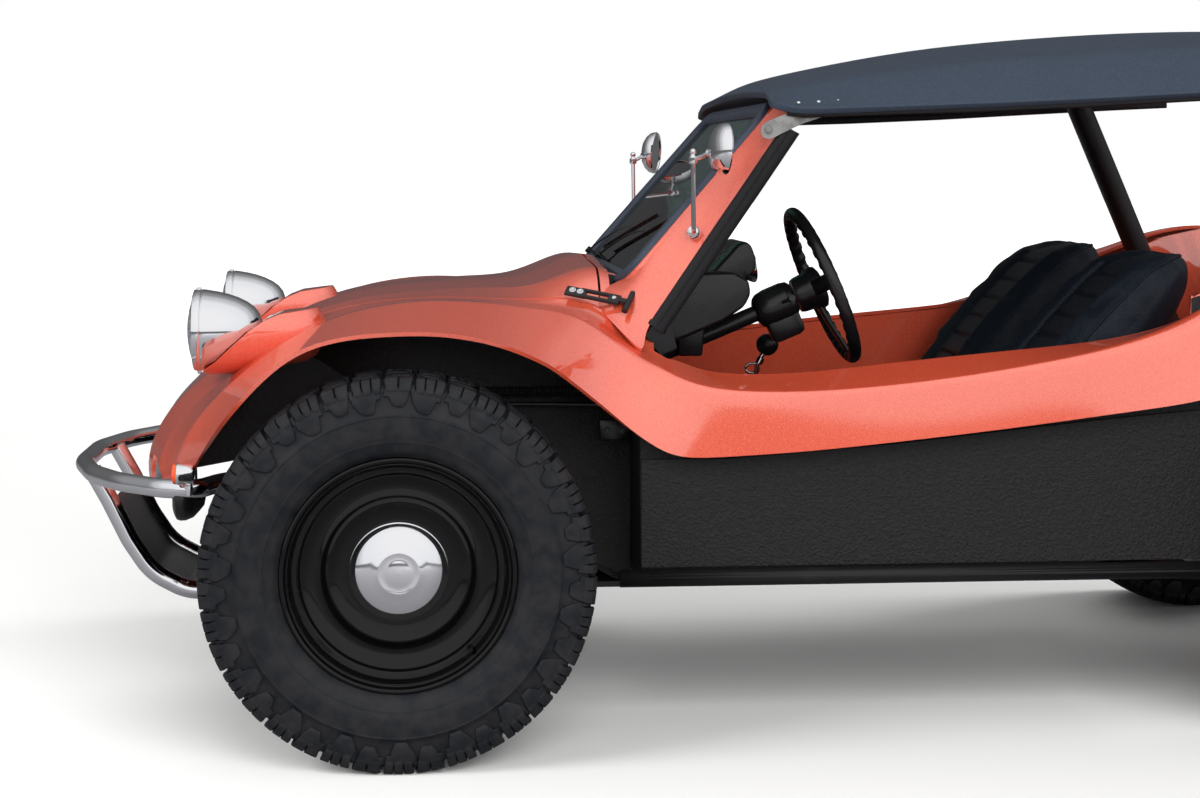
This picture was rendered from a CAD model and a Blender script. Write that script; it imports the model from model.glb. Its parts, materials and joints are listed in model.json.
"""Looks of the two-seat beach buggy: paint, rubber, glass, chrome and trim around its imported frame."""

import json
import math

import bmesh
import bpy
from mathutils import Matrix, Vector
from mathutils.bvhtree import BVHTree

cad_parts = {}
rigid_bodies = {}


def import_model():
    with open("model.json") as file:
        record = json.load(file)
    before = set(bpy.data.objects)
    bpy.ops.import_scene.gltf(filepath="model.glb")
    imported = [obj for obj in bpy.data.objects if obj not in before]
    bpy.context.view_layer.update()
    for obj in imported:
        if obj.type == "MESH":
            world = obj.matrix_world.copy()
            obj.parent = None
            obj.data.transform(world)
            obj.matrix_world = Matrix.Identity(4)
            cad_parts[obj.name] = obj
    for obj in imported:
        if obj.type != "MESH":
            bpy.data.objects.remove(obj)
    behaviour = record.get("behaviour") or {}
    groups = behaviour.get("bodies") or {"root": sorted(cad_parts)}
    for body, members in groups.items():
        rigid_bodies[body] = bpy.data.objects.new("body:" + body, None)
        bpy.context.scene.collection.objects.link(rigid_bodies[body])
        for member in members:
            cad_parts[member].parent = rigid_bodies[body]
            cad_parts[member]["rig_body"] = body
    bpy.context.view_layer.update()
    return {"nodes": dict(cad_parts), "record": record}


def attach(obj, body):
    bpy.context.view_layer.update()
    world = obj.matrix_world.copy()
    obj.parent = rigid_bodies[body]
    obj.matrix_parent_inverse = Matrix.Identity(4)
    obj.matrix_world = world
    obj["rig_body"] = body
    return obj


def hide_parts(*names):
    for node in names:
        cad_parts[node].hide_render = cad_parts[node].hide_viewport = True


bl_info = {
    "name": "Beach Buggy",
    "version": (1, 0, 0),
    "blender": (4, 5, 0),
    "location": "View3D > Sidebar > Buggy",
    "description": "Dresses the frame of a two-seat beach buggy, piece by piece",
    "category": "Object",
}

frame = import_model()

# Where the front axle stands in the frame, in metres
AXLE_X = -0.9925
# The wheelbase and the tyres' radii. These and all lengths below are in millimetres, from the front axle and
# the ground, unless a line says otherwise
WHEELBASE, FRONT_R, REAR_R = 2032.0, 372.0, 390.0
# Radius that closes an outline on its axis without a point of no size
TIP = 0.01


def car(x, y, z):
    """A point given in millimetres from the front axle and the ground, in the frame."""
    return Vector((x / 1000 + AXLE_X, y / 1000, z / 1000))


def tone(red, green, blue):
    """A colour as a screen shows it, turned into the linear one that shaders use."""
    return tuple(c / 12.92 if c <= 0.04045 else ((c + 0.055) / 1.055) ** 2.4
                 for c in (red, green, blue)) + (1.0,)


# Finishes

class Value:
    """A socket of a node tree, on which Python's operators work."""

    def __init__(self, nodes, socket):
        self.nodes = nodes
        self.socket = socket

    def math(self, operation, *others):
        """A Math node's value of this socket and others."""
        return self.nodes.add("ShaderNodeMath", {"operation": operation}, dict(enumerate((self, *others))))

    def __add__(self, other):
        return self.math("ADD", other)

    def __mul__(self, other):
        return self.math("MULTIPLY", other)

    # A sum and a product are the same either way round
    __radd__, __rmul__ = __add__, __mul__

    def __pow__(self, other):
        return self.math("POWER", other)

    def __rpow__(self, other):
        return self.nodes.add("ShaderNodeMath", {"operation": "POWER"}, {0: other, 1: self})

    def above(self, level, width):
        """0 below a level, 1 above it, with a soft step of a width."""
        return self.nodes.add("ShaderNodeMapRange", {"interpolation_type": "SMOOTHSTEP"},
                              {0: self, 1: level - width / 2, 2: level + width / 2, 3: 0.0, 4: 1.0})


class Nodes:
    """A node tree in the making."""

    def __init__(self, tree):
        self.tree = tree

    def join(self, socket, value):
        """Links a value to a socket, or sets the socket to a plain one."""
        if isinstance(value, Value):
            self.tree.links.new(value.socket, socket)
        else:
            socket.default_value = value

    def add(self, kind, settings=None, inputs=None, output=0):
        """Adds a node of a type with its settings and inputs and gives one of its outputs."""
        node = self.tree.nodes.new(kind)
        for key, value in (settings or {}).items():
            setattr(node, key, value)
        for key, value in (inputs or {}).items():
            self.join(node.inputs[key], value)
        return Value(self, node.outputs[output])

    def vector(self, operation, *values, output=0):
        """One step of vector maths."""
        return self.add("ShaderNodeVectorMath", {"operation": operation}, dict(enumerate(values)), output)

    def mix(self, factor, a, b):
        """Two colours mixed by a factor."""
        return self.add("ShaderNodeMix", {"data_type": "RGBA"}, {0: factor, 6: a, 7: b}, 2)


class Finish(Nodes):
    """A material in the making: its nodes, its shader and its place on the piece."""

    def __init__(self, name):
        self.material = bpy.data.materials.new(name)
        self.material.use_nodes = True
        super().__init__(self.material.node_tree)
        self.shader = self.tree.nodes["Principled BSDF"]
        self.place = self.add("ShaderNodeTexCoord", output="Object")

    def set(self, **sockets):
        """Sets or links the shader's inputs by their names."""
        for key, value in sockets.items():
            self.join(self.shader.inputs[key.replace("_", " ").title().replace("Ior", "IOR")], value)

    def noise(self, scale, detail=2.0, rough=0.5, vector=None):
        """Cloudy noise over the piece."""
        return self.add("ShaderNodeTexNoise", None, {"Vector": vector or self.place, "Scale": scale,
                                                     "Detail": detail, "Roughness": rough})

    def cells(self, scale, feature="F1", output="Distance"):
        """Cells scattered over the piece."""
        return self.add("ShaderNodeTexVoronoi", {"feature": feature}, {"Vector": self.place, "Scale": scale},
                        output)

    def axis(self, name, vector=None):
        """One of X, Y and Z of a place."""
        return self.add("ShaderNodeSeparateXYZ", None, {0: vector or self.place}, name)

    def bump(self, height, strength, distance):
        """Relief from a height."""
        inputs = {"Height": height, "Strength": strength, "Distance": distance}
        self.set(normal=self.add("ShaderNodeBump", None, inputs, "Normal"))

    def dressed(self, mark, dark, light, relief, **sockets):
        """The material: two tones mixed by a mark, and relief as (height, strength, distance)."""
        self.set(base_color=self.mix(mark, tone(*dark), tone(*light)), **sockets)
        self.bump(*relief)
        return self.material


def flake_paint():
    """Metal-flake paint under a thick clear coat."""
    f = Finish("flake_paint")
    colours = bpy.context.scene.buggy_colours
    flake = f.cells(1500, output="Color")
    lit = f.axis("X", flake)
    tilt = f.vector("MULTIPLY_ADD", flake, (0.26, 0.26, 0.26), (-0.13, -0.13, -0.13))
    normal = f.add("ShaderNodeNewGeometry", output="Normal")
    f.set(base_color=f.mix(lit ** 1.3 * 0.8 + f.noise(3.0, 3.0) * 0.2, colours.paint_deep,
                           colours.paint_light), metallic=0.45, roughness=0.42,
          normal=f.vector("NORMALIZE", f.vector("ADD", normal, tilt)), coat_weight=1.0, coat_roughness=0.05,
          coat_ior=2.3)
    return f.material


def satin_black():
    """Satin black lacquer with a little orange peel."""
    f = Finish("satin_black")
    worn = f.noise(18, 5.0, 0.65).above(0.62, 0.12)
    return f.dressed(worn * 0.5, (0.07, 0.07, 0.075), (0.14, 0.135, 0.13), (f.noise(420), 0.25, 0.0006),
                     roughness=f.noise(9, 3.0) * 0.2 + 0.26, specular_ior_level=0.4)


def underseal():
    """Coarse textured black of the side panels and the arch walls."""
    f = Finish("textured_panel")
    grain = f.noise(85, 5.0, 0.68) * 0.7 + f.cells(210, "SMOOTH_F1") * 0.5
    return f.dressed(grain, (0.05, 0.048, 0.05), (0.135, 0.128, 0.13), (grain, 0.9, 0.004),
                     roughness=grain * 0.3 + 0.34, specular_ior_level=0.28)


def screen_glass():
    """Clear windscreen glass with a green tint."""
    f = Finish("tinted_glass")
    f.set(base_color=tone(0.17, 0.26, 0.24), roughness=f.noise(7, 4.0).above(0.55, 0.3) * 0.02,
          transmission_weight=1.0, ior=1.12)
    return f.material


def seal_rubber():
    """Blue-black rubber of the windscreen seal."""
    f = Finish("seal_rubber")
    bloom = f.noise(30, 4.0)
    return f.dressed(bloom, (0.13, 0.15, 0.19), (0.20, 0.23, 0.28), (f.noise(300), 0.2, 0.0006),
                     roughness=bloom * 0.2 + 0.38)


def moulded_black():
    """Fine-grained black moulded plastic."""
    f = Finish("moulded_black")
    return f.dressed(f.noise(12, 3.0), (0.035, 0.035, 0.04), (0.07, 0.07, 0.075),
                     (f.cells(900, "SMOOTH_F1"), 0.2, 0.0003),
                     roughness=f.noise(30, 3.0) * 0.12 + 0.22, specular_ior_level=0.5)


def grained_vinyl(name, dark, light, size, depth, gloss, shine):
    """Vinyl or leather with a pebbled grain and fine creases."""
    f = Finish(name)
    pebble = f.cells(size, "SMOOTH_F1")
    crease = f.noise(size * 0.12, 6.0, 0.7)
    return f.dressed(f.noise(6, 3.0) * 0.3 + pebble * 0.9, dark, light,
                     (pebble * 0.7 + crease * 0.5, 0.55, depth), roughness=crease * 0.25 + gloss,
                     specular_ior_level=shine)


def chrome():
    """Polished chrome with faint smears."""
    f = Finish("chrome")
    f.set(base_color=tone(0.93, 0.93, 0.94), metallic=1.0,
          roughness=f.noise(14, 4.0, 0.6).above(0.55, 0.3) * 0.07 + 0.04)
    return f.material


def lamp_glass():
    """Clear fluted lamp glass."""
    f = Finish("lamp_glass")
    f.set(base_color=tone(0.93, 0.95, 0.97), roughness=0.05, transmission_weight=0.9, ior=1.4)
    f.bump((f.axis("Y") * 900).math("SINE"), 0.25, 0.001)
    return f.material


def lens(name, colour):
    """A ribbed coloured lamp lens."""
    f = Finish(name)
    deep = (*(c * 0.6 for c in colour[:3]), 1.0)
    f.set(base_color=f.mix(f.noise(40) * 0.4, colour, deep), roughness=0.16, coat_weight=0.8,
          coat_roughness=0.05)
    f.bump((f.axis("Z") * 1500).math("SINE"), 0.4, 0.0008)
    return f.material


def cast_alloy():
    """Rough cast aluminium with oil film."""
    f = Finish("cast_alloy")
    film = f.noise(22, 5.0, 0.7).above(0.52, 0.25)
    return f.dressed(film, (0.66, 0.66, 0.655), (0.52, 0.51, 0.49), (f.noise(650), 0.4, 0.0006),
                     metallic=0.85, roughness=f.noise(160, 3.0) * 0.25 + 0.35)


def exhaust_steel():
    """Steel pipe dulled and tinted by heat."""
    f = Finish("exhaust_steel")
    heat = f.noise(7, 4.0, 0.6)
    return f.dressed(heat, (0.50, 0.46, 0.42), (0.30, 0.24, 0.21), (f.noise(300, 3.0), 0.25, 0.0005),
                     metallic=0.9, roughness=heat * 0.25 + 0.35)


def brushed_plate():
    """Brushed plate steel with scratches along it."""
    f = Finish("brushed_plate")
    along = f.add("ShaderNodeMapping", None, {"Vector": f.place, "Scale": (1, 30, 1)})
    streak = f.noise(40, 4.0, 0.7, along)
    return f.dressed(streak, (0.62, 0.62, 0.62), (0.80, 0.80, 0.80), (streak, 0.15, 0.0004),
                     metallic=1.0, roughness=streak * 0.2 + 0.22)


def forged_steel():
    """Forged steel under thin satin paint."""
    f = Finish("forged_steel")
    dust = f.noise(25, 4.0).above(0.55, 0.3)
    return f.dressed(dust, (0.13, 0.13, 0.135), (0.22, 0.205, 0.185), (f.noise(500, 3.0), 0.4, 0.0008),
                     roughness=dust * 0.2 + 0.42)


def tyre_rubber():
    """Tyre rubber, greyer where it is dusty."""
    f = Finish("tyre_rubber")
    dust = f.noise(26, 5.0, 0.65).above(0.5, 0.35)
    return f.dressed(dust * 0.6, (0.06, 0.068, 0.085), (0.15, 0.145, 0.145), (f.noise(900), 0.3, 0.0005),
                     roughness=dust * 0.15 + 0.42, specular_ior_level=0.28)


def rim_black():
    """Gloss black enamel of the wheels."""
    f = Finish("rim_black")
    f.set(base_color=tone(0.02, 0.02, 0.024), roughness=f.noise(20, 3.0).above(0.6, 0.2) * 0.08 + 0.16,
          specular_ior_level=0.2, coat_weight=0.22, coat_roughness=0.04)
    return f.material


# What makes each of the record's slots: a function and its values
FINISHES = {
    "flake_paint": (flake_paint,),
    "black_frame": (satin_black,),
    "textured_panel": (underseal,),
    "tinted_glass": (screen_glass,),
    "seal_rubber": (seal_rubber,),
    "black_trim": (moulded_black,),
    "roof_vinyl": (grained_vinyl, "roof_vinyl", (0.125, 0.15, 0.185), (0.21, 0.25, 0.305), 420, 0.0010,
                   0.42, 0.3),
    "bar_padding": (grained_vinyl, "bar_padding", (0.025, 0.025, 0.03), (0.07, 0.07, 0.08), 520, 0.0008,
                    0.32, 0.4),
    "seat_vinyl": (grained_vinyl, "seat_vinyl", (0.012, 0.017, 0.025), (0.085, 0.105, 0.135), 290, 0.0022,
                   0.42, 0.22),
    "chrome_trim": (chrome,),
    "lamp_glass": (lamp_glass,),
    "amber_lens": (lens, "amber_lens", tone(0.88, 0.30, 0.10)),
    "red_lens": (lens, "red_lens", tone(0.60, 0.05, 0.05)),
    "cast_alloy": (cast_alloy,),
    "exhaust_steel": (exhaust_steel,),
    "brushed_plate": (brushed_plate,),
    "forged_steel": (forged_steel,),
    "tyre_rubber": (tyre_rubber,),
    "rim_black": (rim_black,),
}
MADE = {}


def finish(slot):
    """The material of one of the record's slots, made when it is first asked for."""
    if slot not in MADE:
        make, *values = FINISHES[slot]
        MADE[slot] = make(*values)
    return MADE[slot]


# Shared ways of making a piece

def piece(parts, name, slot, replaces=(), sharp=40.0, body="chassis"):
    """Turns one or more bmeshes into a piece that rides on a body and takes a slot's material."""
    made = placed(merged(parts), name)
    mesh = made.data
    mesh.materials.append(finish(slot))
    mesh.shade_smooth()
    mesh.set_sharp_from_angle(angle=math.radians(sharp))
    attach(made, body)
    if replaces:
        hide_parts(*replaces)
    return made


def placed(bm, name):
    """A bmesh as an object of the scene."""
    mesh = bpy.data.meshes.new(name)
    bm.to_mesh(mesh)
    bm.free()
    made = bpy.data.objects.new(name, mesh)
    bpy.context.scene.collection.objects.link(made)
    return made


def node_copy(node):
    """A bmesh copy of a CAD node, its loose triangles joined."""
    bm = bmesh.new()
    bm.from_mesh(frame["nodes"][node].data)
    bmesh.ops.remove_doubles(bm, verts=bm.verts, dist=0.00002)
    return bm


def kept(bm, wanted):
    """The bmesh with only the faces whose middle, in millimetres, is wanted."""
    away = [f for f in bm.faces if not wanted((f.calc_center_median() - car(0, 0, 0)) * 1000)]
    bmesh.ops.delete(bm, geom=away, context="FACES")
    return bm


def laid(rows, round_about=False):
    """A grid laid through rows of points; round_about closes each row on itself."""
    across, along = len(rows[0]) - 1 + round_about, len(rows) - 1
    bm = bmesh.new()
    bmesh.ops.create_grid(bm, x_segments=across, y_segments=along, size=1.0)
    for v in bm.verts:
        row = rows[round((v.co.y + 1) / 2 * along)]
        v.co = row[round((v.co.x + 1) / 2 * across) % len(row)]
    bmesh.ops.remove_doubles(bm, verts=bm.verts, dist=1e-6)
    bmesh.ops.recalc_face_normals(bm, faces=bm.faces)
    return bm


def closed(bm, sides):
    """The tube with its open ends filled."""
    bmesh.ops.holes_fill(bm, edges=[e for e in bm.edges if e.is_boundary], sides=sides)
    bmesh.ops.recalc_face_normals(bm, faces=bm.faces)
    return bm


def merged(parts):
    """Several bmeshes as one; a single one stays as it is."""
    if isinstance(parts, bmesh.types.BMesh):
        return parts
    bm = bmesh.new()
    for part in parts:
        mesh = bpy.data.meshes.new("part")
        part.to_mesh(mesh)
        part.free()
        bm.from_mesh(mesh)
        bpy.data.meshes.remove(mesh)
    return bm


def mirrored(parts):
    """A bmesh, or a list of them, and its mirror image on the car's other side."""
    bm = merged(parts)
    other = bm.copy()
    bmesh.ops.scale(other, vec=(1, -1, 1), verts=other.verts)
    bmesh.ops.reverse_faces(other, faces=other.faces)
    return merged([bm, other])


def ring(bm, outline, steps):
    """Spins an outline of (along y, radius) about the Y axis."""
    verts = [bm.verts.new((r, y, 0.0)) for y, r in outline]
    edges = [bm.edges.new(pair) for pair in zip(verts, verts[1:])]
    bmesh.ops.spin(bm, geom=verts + edges, cent=(0, 0, 0), axis=(0, 1, 0), angle=2 * math.pi, steps=steps,
                   use_merge=True)


def turned(outline, start, end, steps=48):
    """A solid of revolution: outline of (along, radius) on the line from start to end."""
    axis = (Vector(end) - Vector(start)).normalized()
    bm = bmesh.new()
    ring(bm, outline, steps)
    bmesh.ops.remove_doubles(bm, verts=bm.verts, dist=0.02)
    bmesh.ops.recalc_face_normals(bm, faces=bm.faces)
    stand = Vector((0, 1, 0)).rotation_difference(axis).to_matrix().to_4x4()
    bmesh.ops.transform(bm, matrix=Matrix.Translation(car(*start)) @ stand @ Matrix.Scale(0.001, 4),
                        verts=bm.verts)
    return bm


def bar(start, end, r, steps=24, soft=1.0):
    """A round bar between two points, its ends a little rounded."""
    length = (Vector(end) - Vector(start)).length
    return turned([(0, TIP), (0, r - soft), (soft, r), (length - soft, r), (length, r - soft), (length, TIP)],
                  start, end, steps)


def curve_through(points, steps):
    """Points along a smooth curve through the given ones."""
    made = []
    ends = [Vector(p) for p in (points[0], *points, points[-1])]
    for a, b, c, d in zip(ends, ends[1:], ends[2:], ends[3:]):
        for k in range(steps):
            t = k / steps
            made.append(0.5 * (2 * b + (c - a) * t + (2 * a - 5 * b + 4 * c - d) * t * t
                               + (3 * b - a - 3 * c + d) * t ** 3))
    return made + [ends[-1]]


def hose(points, radius, steps=6, sides=16, ribs=None):
    """A tube along a smooth curve; ribs gives (pitch, depth) of a corrugated one."""
    path = curve_through(points, steps)
    if ribs:
        fine = []
        for a, b in zip(path, path[1:]):
            count = max(1, round((b - a).length / ribs[0] * 2))
            fine += [a.lerp(b, k / count) for k in range(count)]
        path = fine + [path[-1]]
    rows, side = [], None
    for k, p in enumerate(path):
        ahead = (path[min(k + 1, len(path) - 1)] - path[max(k - 1, 0)]).normalized()
        if side is None:
            side = ahead.orthogonal().normalized()
        side = (side - ahead * side.dot(ahead)).normalized()
        up = ahead.cross(side)
        r = radius - (ribs[1] if ribs and k % 2 else 0.0)
        rows.append([car(*(p + (side * math.cos(a) + up * math.sin(a)) * r))
                     for a in (2 * math.pi * j / sides for j in range(sides))])
    return closed(laid(rows, True), sides)


def ribbon(points, out, wide, thick, sides=16, power=0.7):
    """A flat strip with rounded edges along points; out is its thin direction."""
    out = Vector(out).normalized()
    rows = []
    for k, p in enumerate(points):
        ahead = (Vector(points[min(k + 1, len(points) - 1)]) - Vector(points[max(k - 1, 0)])).normalized()
        side = ahead.cross(out).normalized()
        row = []
        for j in range(sides):
            a = 2 * math.pi * j / sides
            c, s = math.cos(a), math.sin(a)
            row.append(car(*(Vector(p) + side * math.copysign(abs(c) ** power, c) * wide / 2
                             + out * math.copysign(abs(s) ** power, s) * thick / 2)))
        rows.append(row)
    return closed(laid(rows, True), sides)


def brick(x0, x1, y0, y1, z0, z1, soft=1.5, turn=None):
    """A box with softened edges, turned about its middle when a rotation is given."""
    bm = bmesh.new()
    made = bmesh.ops.create_cube(bm, size=1.0)["verts"]
    bmesh.ops.scale(bm, vec=(abs(x1 - x0) / 1000, abs(y1 - y0) / 1000, abs(z1 - z0) / 1000), verts=made)
    bmesh.ops.bevel(bm, geom=bm.edges[:], offset=soft / 1000, segments=2, affect="EDGES", profile=0.5,
                    material=-1)
    place = Matrix.Translation(car((x0 + x1) / 2, (y0 + y1) / 2, (z0 + z1) / 2))
    bmesh.ops.transform(bm, matrix=place @ turn.to_4x4() if turn else place, verts=bm.verts)
    return bm


def prism(outline, y0, y1, flat="XZ"):
    """A block from an outline in one plane between two levels across it."""
    bm = bmesh.new()
    place = {"XZ": lambda a, b, c: car(a, c, b), "XY": car, "YZ": lambda a, b, c: car(c, a, b)}[flat]
    face = bm.faces.new([bm.verts.new(place(a, b, y0)) for a, b in outline])
    return raised(bm, face, place(0, 0, y1) - place(0, 0, y0))


def raised(bm, face, step):
    """A bmesh's one face drawn out into a block."""
    grown = bmesh.ops.extrude_face_region(bm, geom=[face])["geom"]
    bmesh.ops.translate(bm, vec=step, verts=[g for g in grown if isinstance(g, bmesh.types.BMVert)])
    bmesh.ops.recalc_face_normals(bm, faces=bm.faces)
    return bm


def rounded(bm, offset, segments=3, sharpest=25.0):
    """The bmesh with its sharp edges rounded."""
    edges = [e for e in bm.edges if e.is_manifold and e.calc_face_angle() > math.radians(sharpest)]
    bmesh.ops.bevel(bm, geom=edges, offset=offset / 1000, segments=segments, affect="EDGES", profile=0.5,
                    material=-1, clamp_overlap=True)
    return bm


def bolt(at, out, r=6.0, h=5.0, sides=6):
    """A bolt head with its washer, standing on a point and looking outward."""
    at, out = Vector(at), Vector(out).normalized()
    return merged([turned([(0, TIP), (0, r * 1.35), (1.2, r * 1.35), (1.2, TIP)], at, at + out, 20),
                   turned([(1.2, TIP), (1.2, r), (h - 1, r), (h, r * 0.82), (h, TIP)], at, at + out, sides)])


def rivet(at, out, r=5.0, h=3.0):
    """A dome-headed rivet."""
    at, out = Vector(at), Vector(out).normalized()
    return turned([(0, r), (h * 0.5, r * 0.88), (h * 0.9, r * 0.45), (h, TIP)], at, at + out, 14)


def settled(made):
    """The object's mesh with its modifiers applied, as a bmesh; the object goes."""
    mesh = bpy.data.meshes.new_from_object(made.evaluated_get(bpy.context.evaluated_depsgraph_get()))
    bm = bmesh.new()
    bm.from_mesh(mesh)
    bpy.data.objects.remove(made)
    bpy.data.meshes.remove(mesh)
    return bm


def modified(bm, *steps):
    """A bmesh taken through modifiers, each given as (type, settings)."""
    made = placed(bm, "passing")
    for kind, settings in steps:
        step = made.modifiers.new(kind.lower(), kind)
        for key, value in settings.items():
            setattr(step, key, value)
    return settled(made)


def cut_by(bm, cutters, operation="DIFFERENCE"):
    """A bmesh less, or kept within, the blocks given as bmeshes."""
    for cutter in cutters:
        tool = placed(cutter, "cutter")
        bm = modified(bm, ("BOOLEAN", {"operation": operation, "object": tool, "solver": "EXACT"}))
        bpy.data.objects.remove(tool)
    return bm


def finer(levels, **settings):
    """A subdivision modifier, the same in the view and in the render."""
    return "SUBSURF", {"levels": levels, "render_levels": levels, **settings}


class BuggyColours(bpy.types.PropertyGroup):
    """Colours that an owner would choose."""

    paint_deep: bpy.props.FloatVectorProperty(
        name="Paint, in shade", description="Colour of the flake paint away from the light", subtype="COLOR",
        size=4, min=0.0, max=1.0, default=tone(0.80, 0.19, 0.08))
    paint_light: bpy.props.FloatVectorProperty(
        name="Paint, in light", description="Colour of the flakes that catch the light", subtype="COLOR",
        size=4, min=0.0, max=1.0, default=tone(0.97, 0.47, 0.34))


# The studio, in metres: lamps as name, place, aim, size and watts
LAMPS = (("key", (0.6, -6.4, 3.1), (-0.1, 0, 0.6), 4.5, 560.0),
         ("fill", (4.6, 2.4, 3.4), (0.6, 0, 0.6), 3.0, 170.0),
         ("nose", (-5.2, -2.8, 2.9), (-0.8, 0, 0.5), 3.0, 230.0),
         ("back", (-1.5, 5.5, 3.6), (0, 0, 0.7), 4.0, 150.0))
# What the world shows to reflections: brightness over the height along SKY_UP
SKY_UP = (0.1, -0.85, 0.62)
SKY = ((0.24, 0.13), (0.46, 0.30), (0.62, 0.62), (0.80, 0.92))
# How much of the world's light reaches matt surfaces
SOFT_LIGHT = 0.30


class BUGGY_OT_stage(bpy.types.Operator):
    """Floor, backdrop, lights and camera"""

    bl_idname = "buggy.stage"
    bl_label = "Stage"

    def execute(self, context):
        scene = context.scene
        scene.view_settings.view_transform = "Standard"
        bm = bmesh.new()
        bmesh.ops.create_grid(bm, x_segments=1, y_segments=1, size=60.0)
        floor = placed(bm, "floor")
        f = Finish("floor")
        floor.data.materials.append(f.material)
        seen = f.add("ShaderNodeLightPath", output="Is Camera Ray")
        far = f.vector("LENGTH", f.place, output=1)
        f.set(base_color=f.mix(seen, tone(0.52, 0.52, 0.53), tone(0.97, 0.97, 0.965)), roughness=0.7,
              emission_color=tone(1, 1, 1), emission_strength=seen * far.above(7.0, 4.0))
        world = bpy.data.worlds.new("studio")
        scene.world = world
        world.use_nodes = True
        n = Nodes(world.node_tree)
        camera_ray, glass_ray, glossy_ray = (n.add("ShaderNodeLightPath", output=f"Is {kind} Ray")
                                             for kind in ("Camera", "Transmission", "Glossy"))
        full = camera_ray.math("MAXIMUM", glass_ray).math("MAXIMUM", glossy_ray)
        strength = n.add("ShaderNodeMapRange", None, {0: full, 3: SOFT_LIGHT, 4: 1.0})
        lean = n.vector("DOT_PRODUCT", n.add("ShaderNodeTexCoord", output="Generated"), SKY_UP,
                        output="Value")
        sky = n.add("ShaderNodeValToRGB", None,
                    {0: n.add("ShaderNodeMapRange", None, {0: lean, 1: -0.9, 2: 1.05})})
        ramp = sky.socket.node.color_ramp
        ramp.interpolation = "EASE"
        for place, level in SKY:
            ramp.elements.new(place).color = (level, level * 1.01, level * 1.03, 1.0)
        ramp.elements[0].color = (0.08, 0.08, 0.085, 1.0)
        ramp.elements[-1].color = (1.0, 1.0, 1.0, 1.0)
        back = world.node_tree.nodes["Background"]
        n.join(back.inputs["Color"], n.mix(glossy_ray, (1.0, 1.0, 1.0, 1.0), sky))
        n.join(back.inputs["Strength"], strength)
        for name, place, aim, size, power in LAMPS:
            lamp = bpy.data.lights.new(name, "AREA")
            lamp.shape = "SQUARE"
            lamp.size = size
            lamp.energy = power
            holder = bpy.data.objects.new(name, lamp)
            scene.collection.objects.link(holder)
            holder.location = place
            holder.visible_glossy = False
            holder.rotation_euler = (Vector(aim) - Vector(place)).to_track_quat("-Z", "Y").to_euler()
        camera = bpy.data.cameras.new("camera")
        holder = bpy.data.objects.new("camera", camera)
        scene.collection.objects.link(holder)
        scene.camera = holder
        camera.lens = 65.2
        camera.sensor_width = 36.0
        camera.shift_y = -0.1075
        holder.location = (AXLE_X + 0.035, -4.812, 1.135)
        holder.rotation_euler = (math.radians(90 - 2.765), 0.0, math.radians(-4.84))
        return {"FINISHED"}


class BUGGY_OT_plain(bpy.types.Operator):
    """Pieces that keep the frame's own shape, with smooth shading and their finish"""

    bl_idname = "buggy.plain"
    bl_label = "Plain pieces"

    def execute(self, context):
        slots = {s["node"]: s["material_slot"] for s in frame["record"]["subparts"]}
        for node, shape in sorted(frame["nodes"].items()):
            if not shape.hide_render:
                piece(node_copy(node), node + "_skin", slots[node], (node,), 32, shape["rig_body"])
        return {"FINISHED"}


# Wheels: name, x and y of the centre on the left side, tyre radius and width
WHEELS = (("front", 0.0, 700.0, FRONT_R, 225.0), ("rear", WHEELBASE, 704.0, REAR_R, 262.0))
# Pitches of the tread round the tyre, and how deep a block is rooted
PITCHES, ROOT = 19, 15
# On the sidewall a block is drawn in sideways instead: where that starts and over what share of the half
# width it takes over, and by how much
WALL_FROM, WALL_RUN, WALL_SINK = 0.86, 0.09, 13.0
# Blocks of one pitch. Each row runs from the middle of the tread to the sidewall: share of half the
# width, depth under the tread's top in millimetres, start and end of the block in share of the pitch
LUG_WIDE = ((0.50, 0, 0.04, 0.42), (0.68, 0, 0.02, 0.46), (0.86, 2, 0.01, 0.47), (0.945, 9, 0.01, 0.47),
            (0.980, 19, 0.02, 0.46), (0.992, 29, 0.03, 0.45))
LUG_WIDE_LOW = ((0.965, 20, 0.03, 0.46), (0.985, 30, 0.03, 0.50), (0.990, 38, 0.03, 0.52),
                (0.991, 39, 0.10, 0.52), (0.992, 48, 0.12, 0.48), (0.990, 57, 0.15, 0.43),
                (0.986, 64, 0.18, 0.37))
LUG_SHORT = ((0.56, 0, 0.54, 0.92), (0.70, 0, 0.52, 0.94), (0.86, 2, 0.52, 0.95), (0.935, 9, 0.53, 0.95),
             (0.965, 19, 0.54, 0.94), (0.980, 26, 0.55, 0.93))
LUG_SHORT_LOW = ((0.955, 18, 0.55, 0.95), (0.975, 28, 0.56, 0.98), (0.982, 34, 0.57, 0.98),
                 (0.984, 35, 0.57, 0.90), (0.986, 44, 0.60, 0.87), (0.982, 53, 0.64, 0.82))
TIE_BARS = ((0.88, 14, 0.46, 0.55), (0.94, 22, 0.47, 0.55), (0.955, 30, 0.47, 0.54), (0.958, 36, 0.48, 0.53))
CENTRE_HOOK = ((0.03, 0, 0.10, 0.42), (0.14, 0, 0.06, 0.46), (0.26, 0, 0.06, 0.34), (0.40, 0, 0.12, 0.36))
CENTRE_BAR = ((0.08, 0, 0.60, 0.86), (0.22, 0, 0.54, 0.92), (0.34, 0, 0.50, 0.92), (0.46, 0, 0.58, 0.84))
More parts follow.
